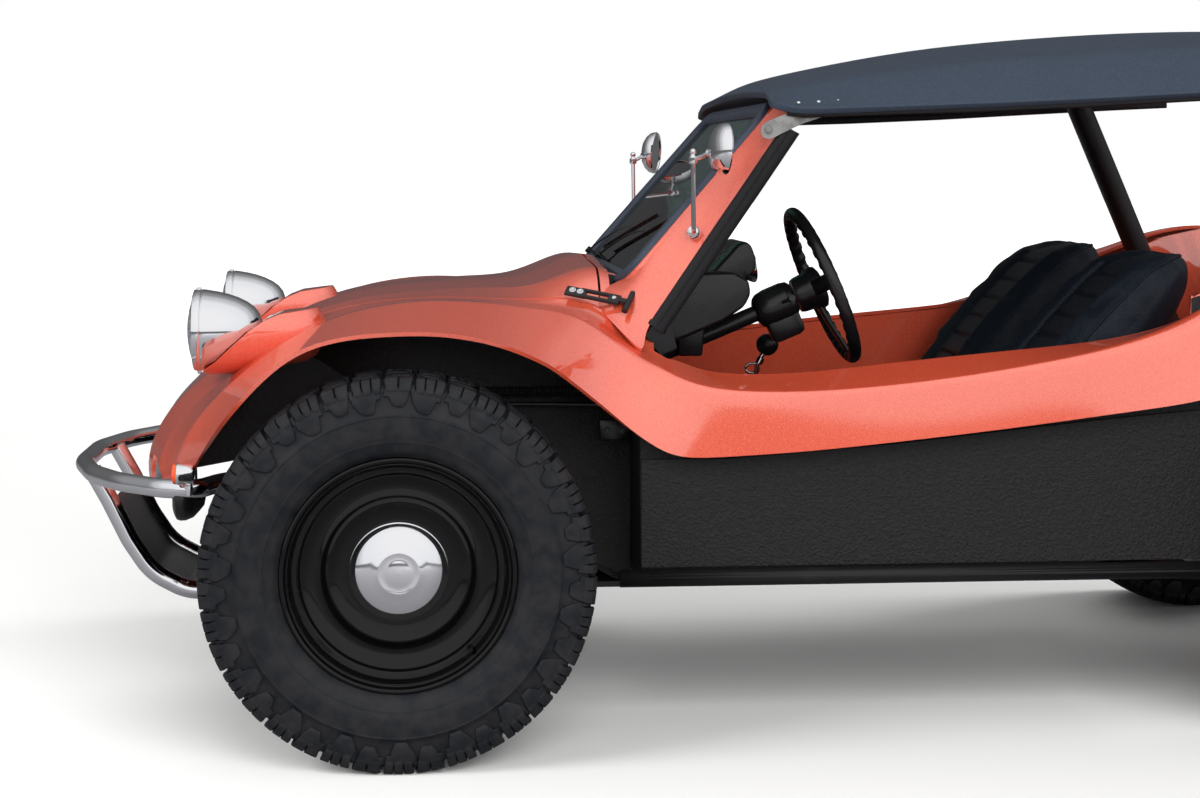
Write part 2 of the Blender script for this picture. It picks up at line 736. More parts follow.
# Rows of a block and where sipes divide it
BLOCKS = ((LUG_WIDE, ((0, 0.31), (0.345, 0.655), (0.69, 1))), (LUG_WIDE_LOW, ((0, 1),)),
          (LUG_SHORT, ((0, 0.48), (0.52, 1))), (LUG_SHORT_LOW, ((0, 1),)), (TIE_BARS, ((0, 1),)),
          (CENTRE_HOOK, ((0, 1),)), (CENTRE_BAR, ((0, 1),)))


def on_tyre(radius, half, share, depth, turn):
    """A point on a tyre about the Y axis, from its share of the half width, depth and turn."""
    angle = turn * 2 * math.pi / PITCHES
    r = radius - depth
    return Vector((r * math.cos(angle), share * half, r * math.sin(angle)))


def block(bm, rows, start, end, radius, half, side, shift):
    """A tread block: a small grid laid on the tyre's surface, given walls down to the carcass."""
    grid = bmesh.ops.create_grid(bm, x_segments=2, y_segments=len(rows) - 1, size=1.0)["verts"]
    for v in grid:
        across = (v.co.x + 1) / 2
        share, depth, a0, a1 = rows[round((v.co.y + 1) / 2 * (len(rows) - 1))]
        at = start + (end - start) * across
        v.co = on_tyre(radius, half, share * side, depth, shift + a0 + (a1 - a0) * at)
    faces = list({f for v in grid for f in v.link_faces})
    edge = [e for e in {e for f in faces for e in f.edges} if e.is_boundary]
    feet = bmesh.ops.extrude_edge_only(bm, edges=edge)["geom"]
    for v in (g for g in feet if isinstance(g, bmesh.types.BMVert)):
        r = math.hypot(v.co.x, v.co.z)
        wall = min(max((abs(v.co.y) / half - WALL_FROM) / WALL_RUN, 0.0), 1.0)
        sink = ROOT * (1 - wall)
        v.co.x *= (r - sink) / r
        v.co.z *= (r - sink) / r
        v.co.y -= math.copysign(WALL_SINK * wall, v.co.y)
    bmesh.ops.bevel(bm, geom=edge, offset=1.6, segments=1, affect="EDGES", profile=0.5, material=-1,
                    offset_type="OFFSET", clamp_overlap=True)


def carcass_outline(radius, width):
    """The tyre's cross-section under its blocks, bead to bead round the outside, then back inside."""
    h = width / 2
    side = [(0.79, 222.5), (0.83, 228), (0.865, 231), (0.90, 238), (0.93, 250), (0.945, 252), (0.947, 256),
            (0.955, 258), (0.972, 272), (0.980, 286), (0.978, radius - 73), (0.986, radius - 72),
            (0.986, radius - 70), (0.968, radius - 68), (0.935, radius - 58), (0.925, radius - 34),
            (0.89, radius - 20), (0.80, radius - 15), (0.5, radius - 13)]
    outer = [(-s * h, r) for s, r in side] + [(0, radius - 13)] + [(s * h, r) for s, r in side[::-1]]
    inner = [(h * 0.74, 224), (h * 0.86, 262), (h * 0.90, 300), (h * 0.78, radius - 30),
             (-h * 0.78, radius - 30), (-h * 0.90, 300), (-h * 0.86, 262), (-h * 0.74, 224),
             (-h * 0.79, 222.5)]
    return outer + inner


def to_wheel(bm, x, y, radius, right):
    """Scales a wheel part from millimetres to its place; the right one is the left one turned round."""
    if right:
        bmesh.ops.rotate(bm, cent=(0, 0, 0), matrix=Matrix.Rotation(math.pi, 3, "Z"), verts=bm.verts)
    place = car(x, y if right else -y, radius)
    for v in bm.verts:
        v.co = v.co / 1000 + place


class BUGGY_OT_tyres(bpy.types.Operator):
    """Mud-terrain tyres with their blocks"""

    bl_idname = "buggy.tyres"
    bl_label = "Tyres"

    def execute(self, context):
        for name, x, y, radius, width in WHEELS:
            half = width / 2
            for right in (False, True):
                bm = bmesh.new()
                for side in (-1, 1):
                    lead = 0.0 if side < 0 else 0.5
                    for rows, cuts in BLOCKS:
                        for a, b in cuts:
                            block(bm, rows, a, b, radius, half, side, lead)
                bmesh.ops.spin(bm, geom=bm.verts[:] + bm.edges[:] + bm.faces[:], cent=(0, 0, 0),
                               axis=(0, 1, 0), angle=2 * math.pi * (PITCHES - 1) / PITCHES, steps=PITCHES - 1,
                               use_duplicate=True)
                ring(bm, carcass_outline(radius, width), 114)
                bmesh.ops.remove_doubles(bm, verts=bm.verts, dist=0.01)
                bmesh.ops.recalc_face_normals(bm, faces=bm.faces)
                to_wheel(bm, x, y, radius, right)
                where = f"{name}_{'right' if right else 'left'}"
                piece(bm, "tread_tyre_" + where, "tyre_rubber", ("tyre_" + where,), 30, "wheel_" + where)
        return {"FINISHED"}


# The valve's radius from the axle and its turn, in radians
VALVE_R, VALVE_TURN = 196, 0.82


class BUGGY_OT_rims(bpy.types.Operator):
    """Pressed steel wheels with their valves and chrome caps"""

    bl_idname = "buggy.rims"
    bl_label = "Wheels and caps"

    def execute(self, context):
        for name, x, y, radius, width in WHEELS:
            h = width / 2 * 0.82
            barrel = [(-h, 220.5), (-h - 1.5, 217), (-h, 213), (-h + 4, 211), (-h + 9, 209.5), (-h + 12, 206),
                      (-h + 18, 204), (-h + 31, 201), (-h + 34, 198), (-h + 35, 191), (-h + 38, 188),
                      (-h + 47, 186.5), (-h + 51, 184), (-h + 57, 172), (-h + 61, 160), (-h + 60, 150),
                      (-h + 55, 141), (-h + 51, 136), (-h + 50, 132), (-h + 52, 128), (-h + 57, 122),
                      (-h + 60, 112), (-h + 61, 96), (-h + 61, 40), (-h + 61, 0.5)]
            back = [(0, 20), (44, 20), (44, 111), (-h + 68, 111), (-h + 66, 124), (-h + 62, 138),
                    (-h + 68, 150), (-h + 68, 166), (-h + 58, 190), (-h + 60, 206), (h - 12, 206),
                    (h - 7, 210), (h, 213), (h, 220.5)]
            dome = [(-h + 60, 20), (-h + 60, 93), (-h + 58, 94), (-h + 52, 94), (-h + 49, 93), (-h + 47, 90),
                    (-h + 40, 84), (-h + 33, 72), (-h + 28, 56), (-h + 25.5, 42), (-h + 24.6, 40),
                    (-h + 24.4, 37), (-h + 25, 35), (-h + 23.5, 24), (-h + 22.6, 12), (-h + 22.4, 0.5)]
            for right in (False, True):
                where = f"{name}_{'right' if right else 'left'}"
                for kind, slot, outline in (("rim", "rim_black", barrel), ("cap", "chrome_trim", dome)):
                    bm = bmesh.new()
                    ring(bm, outline, 120)
                    if kind == "rim":
                        ring(bm, back, 96)
                        stem = bmesh.ops.create_cone(bm, cap_ends=True, segments=20, radius1=6.5, radius2=5,
                                                     depth=16)
                        tip = bmesh.ops.create_cone(bm, cap_ends=True, segments=20, radius1=4.4, radius2=4.0,
                                                    depth=14, matrix=Matrix.Translation((0, 0, 13)))
                        verts = stem["verts"] + tip["verts"]
                        turn = Matrix.Rotation(math.radians(90), 4, "X")
                        place = Matrix.Translation((VALVE_R * math.cos(VALVE_TURN), -h + 32,
                                                    -VALVE_R * math.sin(VALVE_TURN)))
                        bmesh.ops.transform(bm, matrix=place @ turn, verts=verts)
                    bmesh.ops.recalc_face_normals(bm, faces=bm.faces)
                    to_wheel(bm, x, y, radius, right)
                    piece(bm, f"{kind}_disc_{where}", slot, (f"{kind}_{where}",), 32, "wheel_" + where)
        return {"FINISHED"}


# Body stations. Each is a half outline that stands on a base point at an angle: lip, crest, rim and shoulder
# as (across, height), the middle's height, and the corner radii of crest, rim and shoulder. Round the wheels
# the base is the wheel's centre, and a row starts with its angle. Along the sill a row starts with the base's
# x and z, and the last two radii are always the same
FRONT_ARCH = (
    (177, -478, 455, -452, 464, -380, 476, -230, 488, 492, 20, 60, 120),
    (170, -484, 442, -464, 462, -390, 502, -230, 532, 538, 30, 90, 160),
    (163, -488, 438, -474, 466, -398, 512, -230, 552, 560, 30, 90, 160),
    (156, -540, 436, -505, 474, -395, 512, -230, 548, 555, 40, 90, 160),
    (150, -600, 432, -540, 478, -390, 508, -230, 539, 546, 50, 90, 160),
    (141, -672, 434, -560, 474, -385, 492, -235, 521, 528, 50, 90, 160),
    (133, -700, 438, -560, 471, -400, 478, -250, 504, 509, 60, 70, 120),
    (123, -702, 450, -540, 472, -420, 476, -250, 496, 501, 60, 60, 100),
    (113, -702, 459, -515, 476, -430, 476, -250, 494, 499, 60, 60, 100),
    (102, -702, 453, -500, 483, -440, 482, -250, 495, 499, 60, 60, 100),
    (90, -702, 448, -490, 491, -440, 489, -250, 497, 501, 60, 60, 100),
    (80, -702, 455, -500, 504, -445, 503, -250, 512, 516, 60, 60, 100),
    (70, -700, 463, -505, 521, -455, 524, -250, 540, 545, 50, 60, 100),
    (64, -700, 468, -515, 537, -470, 545, -330, 566, 571, 40, 60, 120),
    (60, -700, 472, -520, 552, -476, 562, -370, 608, 616, 36, 60, 130),
    (57, -700, 475, -530, 565, -484, 578, -400, 655, 668, 32, 60, 140),
    (54.5, -700, 478, -540, 574, -490, 590, -420, 684, 700, 32, 60, 150),
    (51, -700, 482, -560, 588, -500, 606, -430, 700, 716, 32, 60, 150),
)
SILL = (
    (400, 668, 55, -698, 0, -620, 112, -560, 128, -420, 250, 270, 30),
    (441, 630, 62, -695, 0, -655, 128, -600, 150, -420, 252, 285, 25),
    (514, 577, 76, -690, 0, -680, 146, -600, 176, -400, 270, 310, 16),
    (575, 572, 85, -690, 0, -683, 138, -600, 163, -400, 262, 308, 14),
    (640, 575, 90, -690, 0, -684, 124, -600, 149, -400, 258, 305, 12),
    (780, 582, 90, -690, 0, -684, 113, -600, 141, -400, 250, 300, 12),
    (966, 600, 90, -690, 0, -684, 107, -600, 145, -400, 240, 290, 12),
    (1164, 621, 90, -690, 0, -684, 112, -600, 143, -400, 228, 275, 12),
    (1362, 646, 92, -690, 0, -684, 124, -600, 134, -400, 215, 260, 14),
    (1460, 659, 94, -692, 0, -683, 140, -600, 136, -400, 218, 260, 20),
    (1540, 670, 97, -695, 0, -682, 162, -600, 142, -400, 222, 262, 30),
    (1605, 687, 103, -700, 0, -679, 176, -596, 148, -400, 225, 258, 36),
    (1662, 711, 110, -706, 0, -676, 178, -590, 148, -400, 222, 250, 40),
    (1723, 758, 117, -712, 0, -666, 160, -578, 130, -400, 190, 215, 50),
)
REAR_ARCH = (
    (114, -718, 475, -654, 594, -562, 562, -400, 590, 612, 50, 60, 120),
    (103, -720, 475, -645, 600, -535, 580, -380, 600, 613, 56, 70, 120),
    (90, -720, 475, -640, 600, -505, 592, -350, 606, 612, 60, 80, 120),
    (78, -720, 475, -640, 592, -490, 592, -340, 602, 608, 60, 80, 120),
    (66, -720, 475, -640, 578, -480, 584, -330, 594, 600, 60, 80, 120),
    (55, -720, 475, -642, 560, -480, 566, -330, 576, 582, 56, 80, 120),
    (44, -720, 476, -645, 540, -480, 545, -330, 554, 559, 50, 80, 120),
    (33, -718, 478, -652, 522, -480, 527, -330, 535, 540, 40, 80, 120),
    (24, -712, 480, -660, 508, -480, 513, -330, 520, 525, 30, 80, 120),
)
STATIONS = ([(0, FRONT_R, *row) for row in FRONT_ARCH] + [(*row, 60, 120) for row in SILL]
            + [(WHEELBASE, REAR_R, *row) for row in REAR_ARCH])
# The skin's thickness, the lid's ends with their half widths and its gap, and the cockpit's half width
SKIN = 8.0
LID_X, LID_Y, LID_GAP = (-330.0, 400.0), (280.0, 488.0), 5.0
RIM_Y = 600.0
# The corner under the nose that is cut away beside the front wheels
NOSE_TRIM = ((-640, 300), (-380, 300), (-380, 440), (-436, 452), (-492, 540), (-640, 560))


def soft_outline(points, radii, spans, turns):
    """An open outline with rounded corners, always cut into the same number of steps."""
    made, last = [], Vector(points[0])
    for a, b, c, r, span in zip(points, points[1:], points[2:], radii, spans):
        a, b, c = Vector(a), Vector(b), Vector(c)
        u, v = (a - b).normalized(), (c - b).normalized()
        half = u.angle(v) / 2
        cut = min(max(r / math.tan(half), 1.0), 0.42 * min((a - b).length, (c - b).length))
        r = cut * math.tan(half)
        centre = b + (u + v).normalized() * (r / math.sin(half))
        p, q = b + u * cut, b + v * cut
        made += [last.lerp(p, k / span) for k in range(span)]
        start, end = p - centre, q - centre
        sweep = start.angle_signed(end)
        for k in range(turns):
            made.append(centre + Matrix.Rotation(-sweep * k / turns, 2) @ start)
        last = q
    made += [last.lerp(Vector(points[-1]), k / spans[-1]) for k in range(spans[-1] + 1)]
    return made


def facing_up(bm):
    """The open sheet with its top faces looking up."""
    if max(bm.faces, key=lambda f: f.calc_center_median().z).normal.z < 0:
        bmesh.ops.reverse_faces(bm, faces=bm.faces)
    return bm


def skin_grid():
    """The body's outer surface as a bmesh grid through its stations."""
    rows = []
    for x0, z0, angle, ly, lh, cy, ch, ry, rh, sy, sh, top, rc, rr, rs in STATIONS:
        half = [(ly, lh), (cy, ch), (ry, rh), (sy, sh), (0, top)]
        whole = half + [(-y, h) for y, h in half[-2::-1]]
        outline = soft_outline(whole, (rc, rr, rs, rs * 3, rs, rr, rc), (4, 2, 2, 3, 3, 2, 2, 4), 4)
        c, s = math.cos(math.radians(angle)), math.sin(math.radians(angle))
        rows.append([car(x0 + c * p.y, p.x, z0 + s * p.y) for p in outline])
    return facing_up(laid(rows))


def lid_plan(gap):
    """The front lid's outline in plan, grown by a gap."""
    slope = (LID_Y[1] - LID_Y[0]) / (LID_X[1] - LID_X[0])
    x0, x1 = LID_X[0] - gap, LID_X[1] + gap
    y0, y1 = LID_Y[0] - slope * gap + gap, LID_Y[1] + slope * gap + gap
    return [(x0, -y0), (x1, -y1), (x1, y1), (x0, y0)]


class BUGGY_OT_body(bpy.types.Operator):
    """Body shell and front lid with black undersides, and the tub's walls"""

    bl_idname = "buggy.body"
    bl_label = "Body and lid"

    def execute(self, context):
        skin = modified(skin_grid(), finer(2, boundary_smooth="PRESERVE_CORNERS"),
                        ("SOLIDIFY", {"thickness": SKIN / 1000, "offset": -1.0, "material_offset": 1,
                                      "use_even_offset": True}))
        lid = cut_by(skin.copy(), [prism(lid_plan(0.0), 640, 1040, "XY")], "INTERSECT")
        body = cut_by(skin, [
            prism([(566, 560), (2060, 560), (2060, 1300), (566, 1300)], -RIM_Y, RIM_Y),
            prism([(424, 790), (520, 720), (700, 660), (700, 1300), (424, 1300)], -478, 478),
            prism([(500, 770), (700, 660), (700, 1300), (560, 1300)], -RIM_Y, RIM_Y),
            prism(lid_plan(LID_GAP), 640, 1040, "XY"),
            prism([(2215, 300), (2700, 300), (2700, 1100), (2215, 1100)], -400, 400),
            prism(NOSE_TRIM, -900, -300),
            prism(NOSE_TRIM, 300, 900),
            prism([(-640, 300), (-380, 300), (-380, 452), (-640, 452)], -310, 310),
        ])
        under = finish("textured_panel")
        made = piece(body, "body_skin", "flake_paint", ("body_shell",), 38)
        made.data.materials.append(under)
        made = piece(lid, "lid_skin", "flake_paint", ("front_lid",), 38, "front_lid")
        made.data.materials.append(under)
        stands = kept(node_copy("body_shell"),
                      lambda c: -354 < c.x < -318 and 56 < abs(c.y) < 120 and 736 < c.z < 772)
        piece(stands, "hinge_stands", "chrome_trim", ("body_shell",), 30)
        for node in ("tub_sides", "arch_walls", "rear_tub"):
            walls = node_copy(node)
            for f in walls.faces:
                if self.unpainted(node, f, (f.calc_center_median() - car(0, 0, 0)) * 1000):
                    f.material_index = 1
            made = piece(walls, node + "_skin", "flake_paint", (node,), 30)
            made.data.materials.append(under)
        duct = hose([(150, -430, 677), (240, -430, 677), (340, -430, 676), (430, -428, 674)], 11, 4, 20,
                    (7, 2.2))
        line = hose([(150, -432, 652), (300, -432, 651), (520, -432, 648)], 5, 4, 12)
        stay = brick(404, 466, -440, -432, 578, 619, 3)
        spots = [bolt((x, -440, 598), (0, -1, 0), 6, 5) for x in (420, 450)]
        piece(mirrored([duct, line, stay] + spots), "arch_lines", "black_trim", (), 35)
        hinges = kept(node_copy("front_lid"), lambda c: -345 < c.x < -298 and abs(c.y) < 120 and c.z < 766.5)
        piece(hinges, "lid_hinges", "chrome_trim", ("front_lid",), 30, "front_lid")
        return {"FINISHED"}

    def unpainted(self, node, face, middle):
        """Whether a wall's face looks into an arch, at the road or at the engine, and so stays black."""
        n = face.normal
        if node == "rear_tub":
            return n.z < -0.5 or n.x > 0.5 or abs(middle.y) >= 500 and n.y * (1 if middle.y > 0 else -1) > 0.5
        if n.y * (1 if middle.y > 0 else -1) > 0.5 or n.z < -0.5:
            return True
        return middle.x < 400 if node == "arch_walls" else n.x < -0.5


# Roof rows: x, edge z, top z, half width
ROOF_ROWS = (
    (733, 1262, 1291, 560), (766, 1249, 1313, 582), (800, 1245, 1325, 592), (890, 1248, 1346, 600),
    (1116, 1255, 1390, 605), (1345, 1265, 1413, 605), (1574, 1278, 1429, 605), (1800, 1290, 1434, 600),
    (1930, 1296, 1428, 590),
)


class BUGGY_OT_roof(bpy.types.Operator):
    """Vinyl-covered hard top with its edge binding"""

    bl_idname = "buggy.roof"
    bl_label = "Roof"

    def execute(self, context):
        rows = []
        for x, edge, top, half in ROOF_ROWS:
            flank, shoulder = half * 0.86, edge + (top - edge) * 0.66
            low, mid = Vector((half, edge)), Vector((flank, shoulder))
            row = [low, low.lerp(mid, 0.2), low.lerp(mid, 0.5), low.lerp(mid, 0.85)]
            for k in range(6):
                y = flank * (1 - k / 6)
                row.append(Vector((y * 0.985, shoulder + (top - shoulder) * (1 - (y / flank) ** 2))))
            row.append(Vector((0, top)))
            rows.append([car(x, -p.x, p.y) for p in row] + [car(x, p.x, p.y) for p in row[-2::-1]])
        bm = modified(facing_up(laid(rows)), finer(2),
                      ("SOLIDIFY", {"thickness": 0.014, "offset": -1.0}),
                      ("BEVEL", {"width": 0.006, "segments": 3, "limit_method": "ANGLE"}))
        piece(bm, "roof_cover", "roof_vinyl", ("roof_shell",), 50)
        rail = ribbon([(x, -(half - 20), edge - 7) for x, edge, top, half in ROOF_ROWS[1:]], (0, 1, 0), 20,
                      16, 16, 0.5)
        piece(mirrored(rail), "roof_rail", "bar_padding", (), 40)
        studs = [rivet((x, -573, z), (0, -0.54, 0.84), 4.2, 2.6)
                 for x, z in ((786, 1258), (826, 1260), (865, 1262), (1560, 1292), (1600, 1294),
                              (1640, 1296))]
        piece(mirrored(studs), "roof_rivets", "chrome_trim", (), 40)
        return {"FINISHED"}


# The windscreen: a point of its plane as x and z, its lean from the level, and its outline's half widths at
# the foot and at the top, with their places along the slope
SCREEN_X, SCREEN_Z, SCREEN_LEAN = 480, 937, math.radians(48.9)
SCREEN_W0, SCREEN_W1, SCREEN_LOW, SCREEN_HIGH = 492, 468, -58, 424


def screen(u, v, w):
    """A point on the windscreen: across to the left, up the slope, out of the glass."""
    s, c = math.sin(SCREEN_LEAN), math.cos(SCREEN_LEAN)
    return Vector((SCREEN_X + c * v - s * w, -u, SCREEN_Z + s * v + c * w))


def screen_loop(grow, radius, turns=8):
    """The windscreen's rounded outline, grown by a margin: its points, each with its way outward."""
    w0, w1, low, h = SCREEN_W0 + grow, SCREEN_W1 + grow, SCREEN_LOW - grow, SCREEN_HIGH + grow
    corners = [Vector(p) for p in ((-w0, low), (w0, low), (w1, h), (-w1, h))]
    made = []
    for k, b in enumerate(corners):
        a, c = corners[k - 1], corners[(k + 1) % 4]
        u, v = (a - b).normalized(), (c - b).normalized()
        half = u.angle(v) / 2
        centre = b + (u + v).normalized() * (radius / math.sin(half))
        start = (b + u * (radius / math.tan(half)) - centre).normalized()
        end = (b + v * (radius / math.tan(half)) - centre).normalized()
        for j in range(turns + 1):
            out = start.slerp(end, j / turns)
            made.append((centre + out * radius, out))
    return made


def framed(grow, radius, profile):
    """A closed profile of (outward, height) swept round the windscreen's outline."""
    rows = []
    for at, out in screen_loop(grow, radius):
        rows.append([car(*screen(at.x + out.x * a, at.y + out.y * a, b)) for a, b in profile])
    return laid(rows + rows[:1], True)


# Paths of the driver's side wiper on the glass, across and up, in millimetres
WIPER_ARM = ((-150, -24), (-80, 14), (20, 46), (120, 62), (206, 68))
WIPER_BLADE = ((-28, 2), (60, 27), (206, 64), (330, 94), (436, 118))

# Side cheeks of the windscreen panel: foot on the body, then up along the glass. Each row runs from the
# seal's edge out to the padding's front edge
CHEEK = (
    ((398, -486, 850), (410, -510, 836), (430, -545, 815), (452, -578, 792), (478, -606, 768)),
    ((400, -468, 874), (420, -502, 859), (440, -527, 840), (460, -549, 819), (482, -568, 799)),
    ((420, -440, 892), (438, -490, 884), (455, -520, 864), (473, -539, 842), (494, -553, 822)),
    ((448, -455, 902), (460, -502, 899), (474, -521, 882), (490, -540, 862), (508, -550, 845)),
    ((477, -484, 932), (486, -503, 925), (500, -521, 906), (514, -540, 884), (525, -549, 870)),
    ((497, -491, 957), (505, -503, 949), (519, -521, 927), (534, -540, 904), (542, -549, 892)),
    ((545, -488, 1012), (553, -500, 1003), (566, -519, 982), (579, -539, 961), (585, -548, 951)),
    ((610, -483, 1087), (617, -495, 1079), (627, -516, 1061), (637, -537, 1045), (642, -547, 1037)),
    ((675, -478, 1161), (680, -490, 1155), (688, -512, 1142), (696, -536, 1129), (700, -546, 1122)),
    ((741, -473, 1236), (744, -485, 1231), (749, -508, 1220), (755, -534, 1213), (758, -545, 1208)),
    ((768, -471, 1267), (770, -484, 1263), (772, -507, 1256), (774, -534, 1246), (775, -545, 1240)),
)
PADDING = ((510, 816), (526, 839), (586, 926), (645, 1013), (707, 1103), (768, 1193), (776, 1205))


class BUGGY_OT_screen(bpy.types.Operator):
    """Windscreen with its panel, seal, padding, wipers, mirrors and brackets"""

    bl_idname = "buggy.screen"
    bl_label = "Windscreen"

    def execute(self, context):
        cheek = laid([[car(*p) for p in row] for row in CHEEK])
        if sum(f.normal.y for f in cheek.faces) > 0:
            bmesh.ops.reverse_faces(cheek, faces=cheek.faces)
        cheek = modified(cheek, finer(2), ("SOLIDIFY", {"thickness": 0.008}))
        flange = framed(0, 70, [(-4, 1), (3, 1), (7, -3), (8, -10), (6, -22), (-3, -24), (-5, -18)])
        piece([mirrored(cheek), flange], "screen_panel", "flake_paint", ("windscreen_frame",), 50)
        seal = framed(0, 70, [(-1, -12), (1, 6), (-2, 11), (-8, 13), (-14, 13.5), (-15.5, 11.5), (-17, 13.5),
                              (-24, 12), (-30, 8), (-32, 3), (-32, -3), (-30, -12)])
        piece(seal, "screen_seal", "seal_rubber", ("windscreen_seal",), 40)
        bm = bmesh.new()
        face = bm.faces.new([bm.verts.new(car(*screen(at.x, at.y, -3))) for at, _ in screen_loop(-24, 50)])
        pane = raised(bm, face, (screen(0, 0, 3) - screen(0, 0, -3)) / 1000)
        piece(pane, "screen_pane", "tinted_glass", ("windscreen_glass",), 30)
        pads = ribbon(curve_through([(x, -547, z) for x, z in PADDING], 4), (0, 1, 0), 37, 22, 20, 0.6)
        foot = prism([(486, 798), (514, 842), (534, 832), (548, 776), (516, 760)], -553, -536)
        welt = hose(curve_through([(x - 3, -558, z + 2) for x, z in PADDING], 4), 2.2, sides=8)
        back_welt = hose(curve_through([(x + 8, -557, z - 5) for x, z in PADDING], 4), 1.8, sides=8)
        end = ribbon([(PADDING[0][0] - 3, -547, PADDING[0][1] - 4),
                      (PADDING[0][0] + 3, -547, PADDING[0][1] + 5)], (0, 1, 0), 41, 25, 20, 0.6)
        piece(mirrored([pads, foot, welt, back_welt, end]), "pillar_pads", "bar_padding", ("pillar_trims",),
              50)
        arms = []
        off = screen(0, 0, 1) - screen(0, 0, 0)
        for left in (0, -290):
            path = [(u + left, v) for u, v in WIPER_ARM]
            edge = [(u + left, v) for u, v in WIPER_BLADE]
            foot = screen(*path[0], 2)
            arms += [bar(foot, foot + off * 16, 6), bar(foot + off * 12, foot + off * 20, 8.5),
                     hose([screen(u, v, h) for (u, v), h in zip(path, (16, 14, 12, 11, 10))], 2.0, sides=10),
                     ribbon([screen(u, v, 3.5) for u, v in edge], off, 2.6, 5, 8),
                     ribbon([screen(u, v, 7) for u, v in edge], off, 3.6, 2.0, 8)]
        piece(arms, "wiper_arms", "black_trim", ("wipers",), 40)
        heads = []
        for y, aim in ((-622, (1.0, 0.10, -0.06)), (622, (0.94, -0.34, -0.06))):
            middle = Vector((626, y, 1166))
            heads.append(turned([(9, TIP), (9, 46), (11, 47), (12, 50), (9, 52), (4, 51.4), (-4, 49),
                                 (-13, 41), (-20, 29), (-24, 14), (-25.5, TIP)], middle, middle + Vector(aim),
                                72))
        stalk = [bar((577, -586, 1010), (575, -588, 1150), 4.6),
                 turned([(0, TIP), (0, 8), (3, 8.8), (12, 8.8), (15, 6), (18, 5), (22, 7), (26, 6.4), (29, 3),
                         (30, TIP)], (575, -588, 1138), (575, -588, 1170), 28),
                 hose([Vector(p) for p in ((575, -588, 1146), (588, -600, 1150), (600, -612, 1158),
                                           (608, -618, 1163))], 4.4),
                 turned([(0, TIP), (0, 8), (6, 8), (8, 6), (9, TIP)], (601, -613, 1158), (612, -620, 1163),
                        24), hose(curve_through([(577, -586, 1014), (578, -580, 1006), (580, -560, 1002),
                                                 (582, -530, 1000)], 4), 4.6),
                 turned([(-8, TIP), (-8, 14), (2, 14), (5, 11), (8, 6), (9, TIP)], (583, -538, 1001),
                        (583, -560, 1001), 28)]
        piece(heads + [mirrored(stalk)], "door_mirrors", "chrome_trim", ("mirrors",), 40)
        plate = prism([(713, 1200), (718, 1190), (729, 1186), (741, 1190), (760, 1200), (800, 1218),
                       (860, 1238), (958, 1240), (958, 1262), (850, 1258), (790, 1246), (748, 1230),
                       (722, 1219), (714, 1210)], -561, -557)
        spots = [bolt((729, -561, 1204), (0, -1, 0), 8, 6), rivet((800, -561, 1232), (0, -1, 0))]
        clamps = kept(node_copy("roof_brackets"), lambda c: abs(c.y) <= 500)
        piece([mirrored([plate] + spots), clamps], "roof_plates", "cast_alloy",
              ("roof_brackets",), 30)
        return {"FINISHED"}


def latch_at(a, b, c):
    """A point on the left lid latch: along, across and above the lid."""
    x_dir = Vector((109, -44, -21)).normalized()
    z_dir = Vector((0.1, -0.7, 0.7))
    z_dir = (z_dir - x_dir * z_dir.dot(x_dir)).normalized()
    return Vector((340, -478, 880)) + x_dir * a + z_dir.cross(x_dir) * b + z_dir * c


class BUGGY_OT_latches(bpy.types.Operator):
    """Rubber T-handle latches of the front lid"""

    bl_idname = "buggy.latches"
    bl_label = "Lid latches"

    def execute(self, context):
        up = latch_at(0, 0, 1) - latch_at(0, 0, 0)
        rubber = []
        for a0, a1, b, wide, thick, c in ((-6, 36, 0, 24, 9, 4.5), (26, 96, 8.5, 7, 8, 6),
                                          (26, 96, -8.5, 7, 8, 6), (84, 108, 0, 25, 10, 6),
                                          (100, 126, 0, 11, 9, 7)):
            path = [latch_at(a0, b, c), latch_at((a0 + a1) / 2, b, c + 0.4), latch_at(a1, b, c)]
            rubber.append(ribbon(path, up, wide, thick, 16, 0.5))
        rubber.append(hose([latch_at(127, b, 7.5) for b in (-27, -14, 0, 14, 27)], 6.5))
        piece(mirrored(rubber), "latch_straps", "black_trim", ("lid_latches",), 45)
        fixings = [bolt(latch_at(a, 0, 9), up, 5, 4) for a in (8, 24, 96)]
        piece(mirrored(fixings), "latch_bolts", "chrome_trim", (), 30)
        return {"FINISHED"}


# The left headlamp's axis as two points, and the outlines that turn about it
LAMP, LAMP_TO = (0, -390, 803), (1, -390, 803)
BOWL_SHAPE = ((-397, TIP), (-397, 60), (-402, 72), (-409, 73.5), (-411.5, 77), (-410, 81), (-403, 83),
              (-396, 82.6), (-394.5, 81.2), (-393, 82.2), (-388, 82), (-380, 80.6), (-362, 77.5),
              (-342, 72.6), (-322, 65.5), (-304, 56.5), (-290, 46), (-280, 33), (-275, 18), (-273.6, TIP))
LENS_SHAPE = ((-400, TIP), (-400, 70), (-404, 73.4), (-409, 72.5), (-414, 62), (-419, 46), (-422.5, 26),
              (-423.6, TIP))
POD_SHAPE = ((-276, TIP), (-280, 34), (-300, 59), (-340, 75), (-380, 82.5), (-389, 83.5), (-391, 86),
             (-388, 88.5), (-376, 89.5), (-350, 89), (-320, 86.5), (-285, 82), (-250, 76), (-215, 70),
             (-185, 64), (-165, 52), (-152, 30), (-148, TIP))


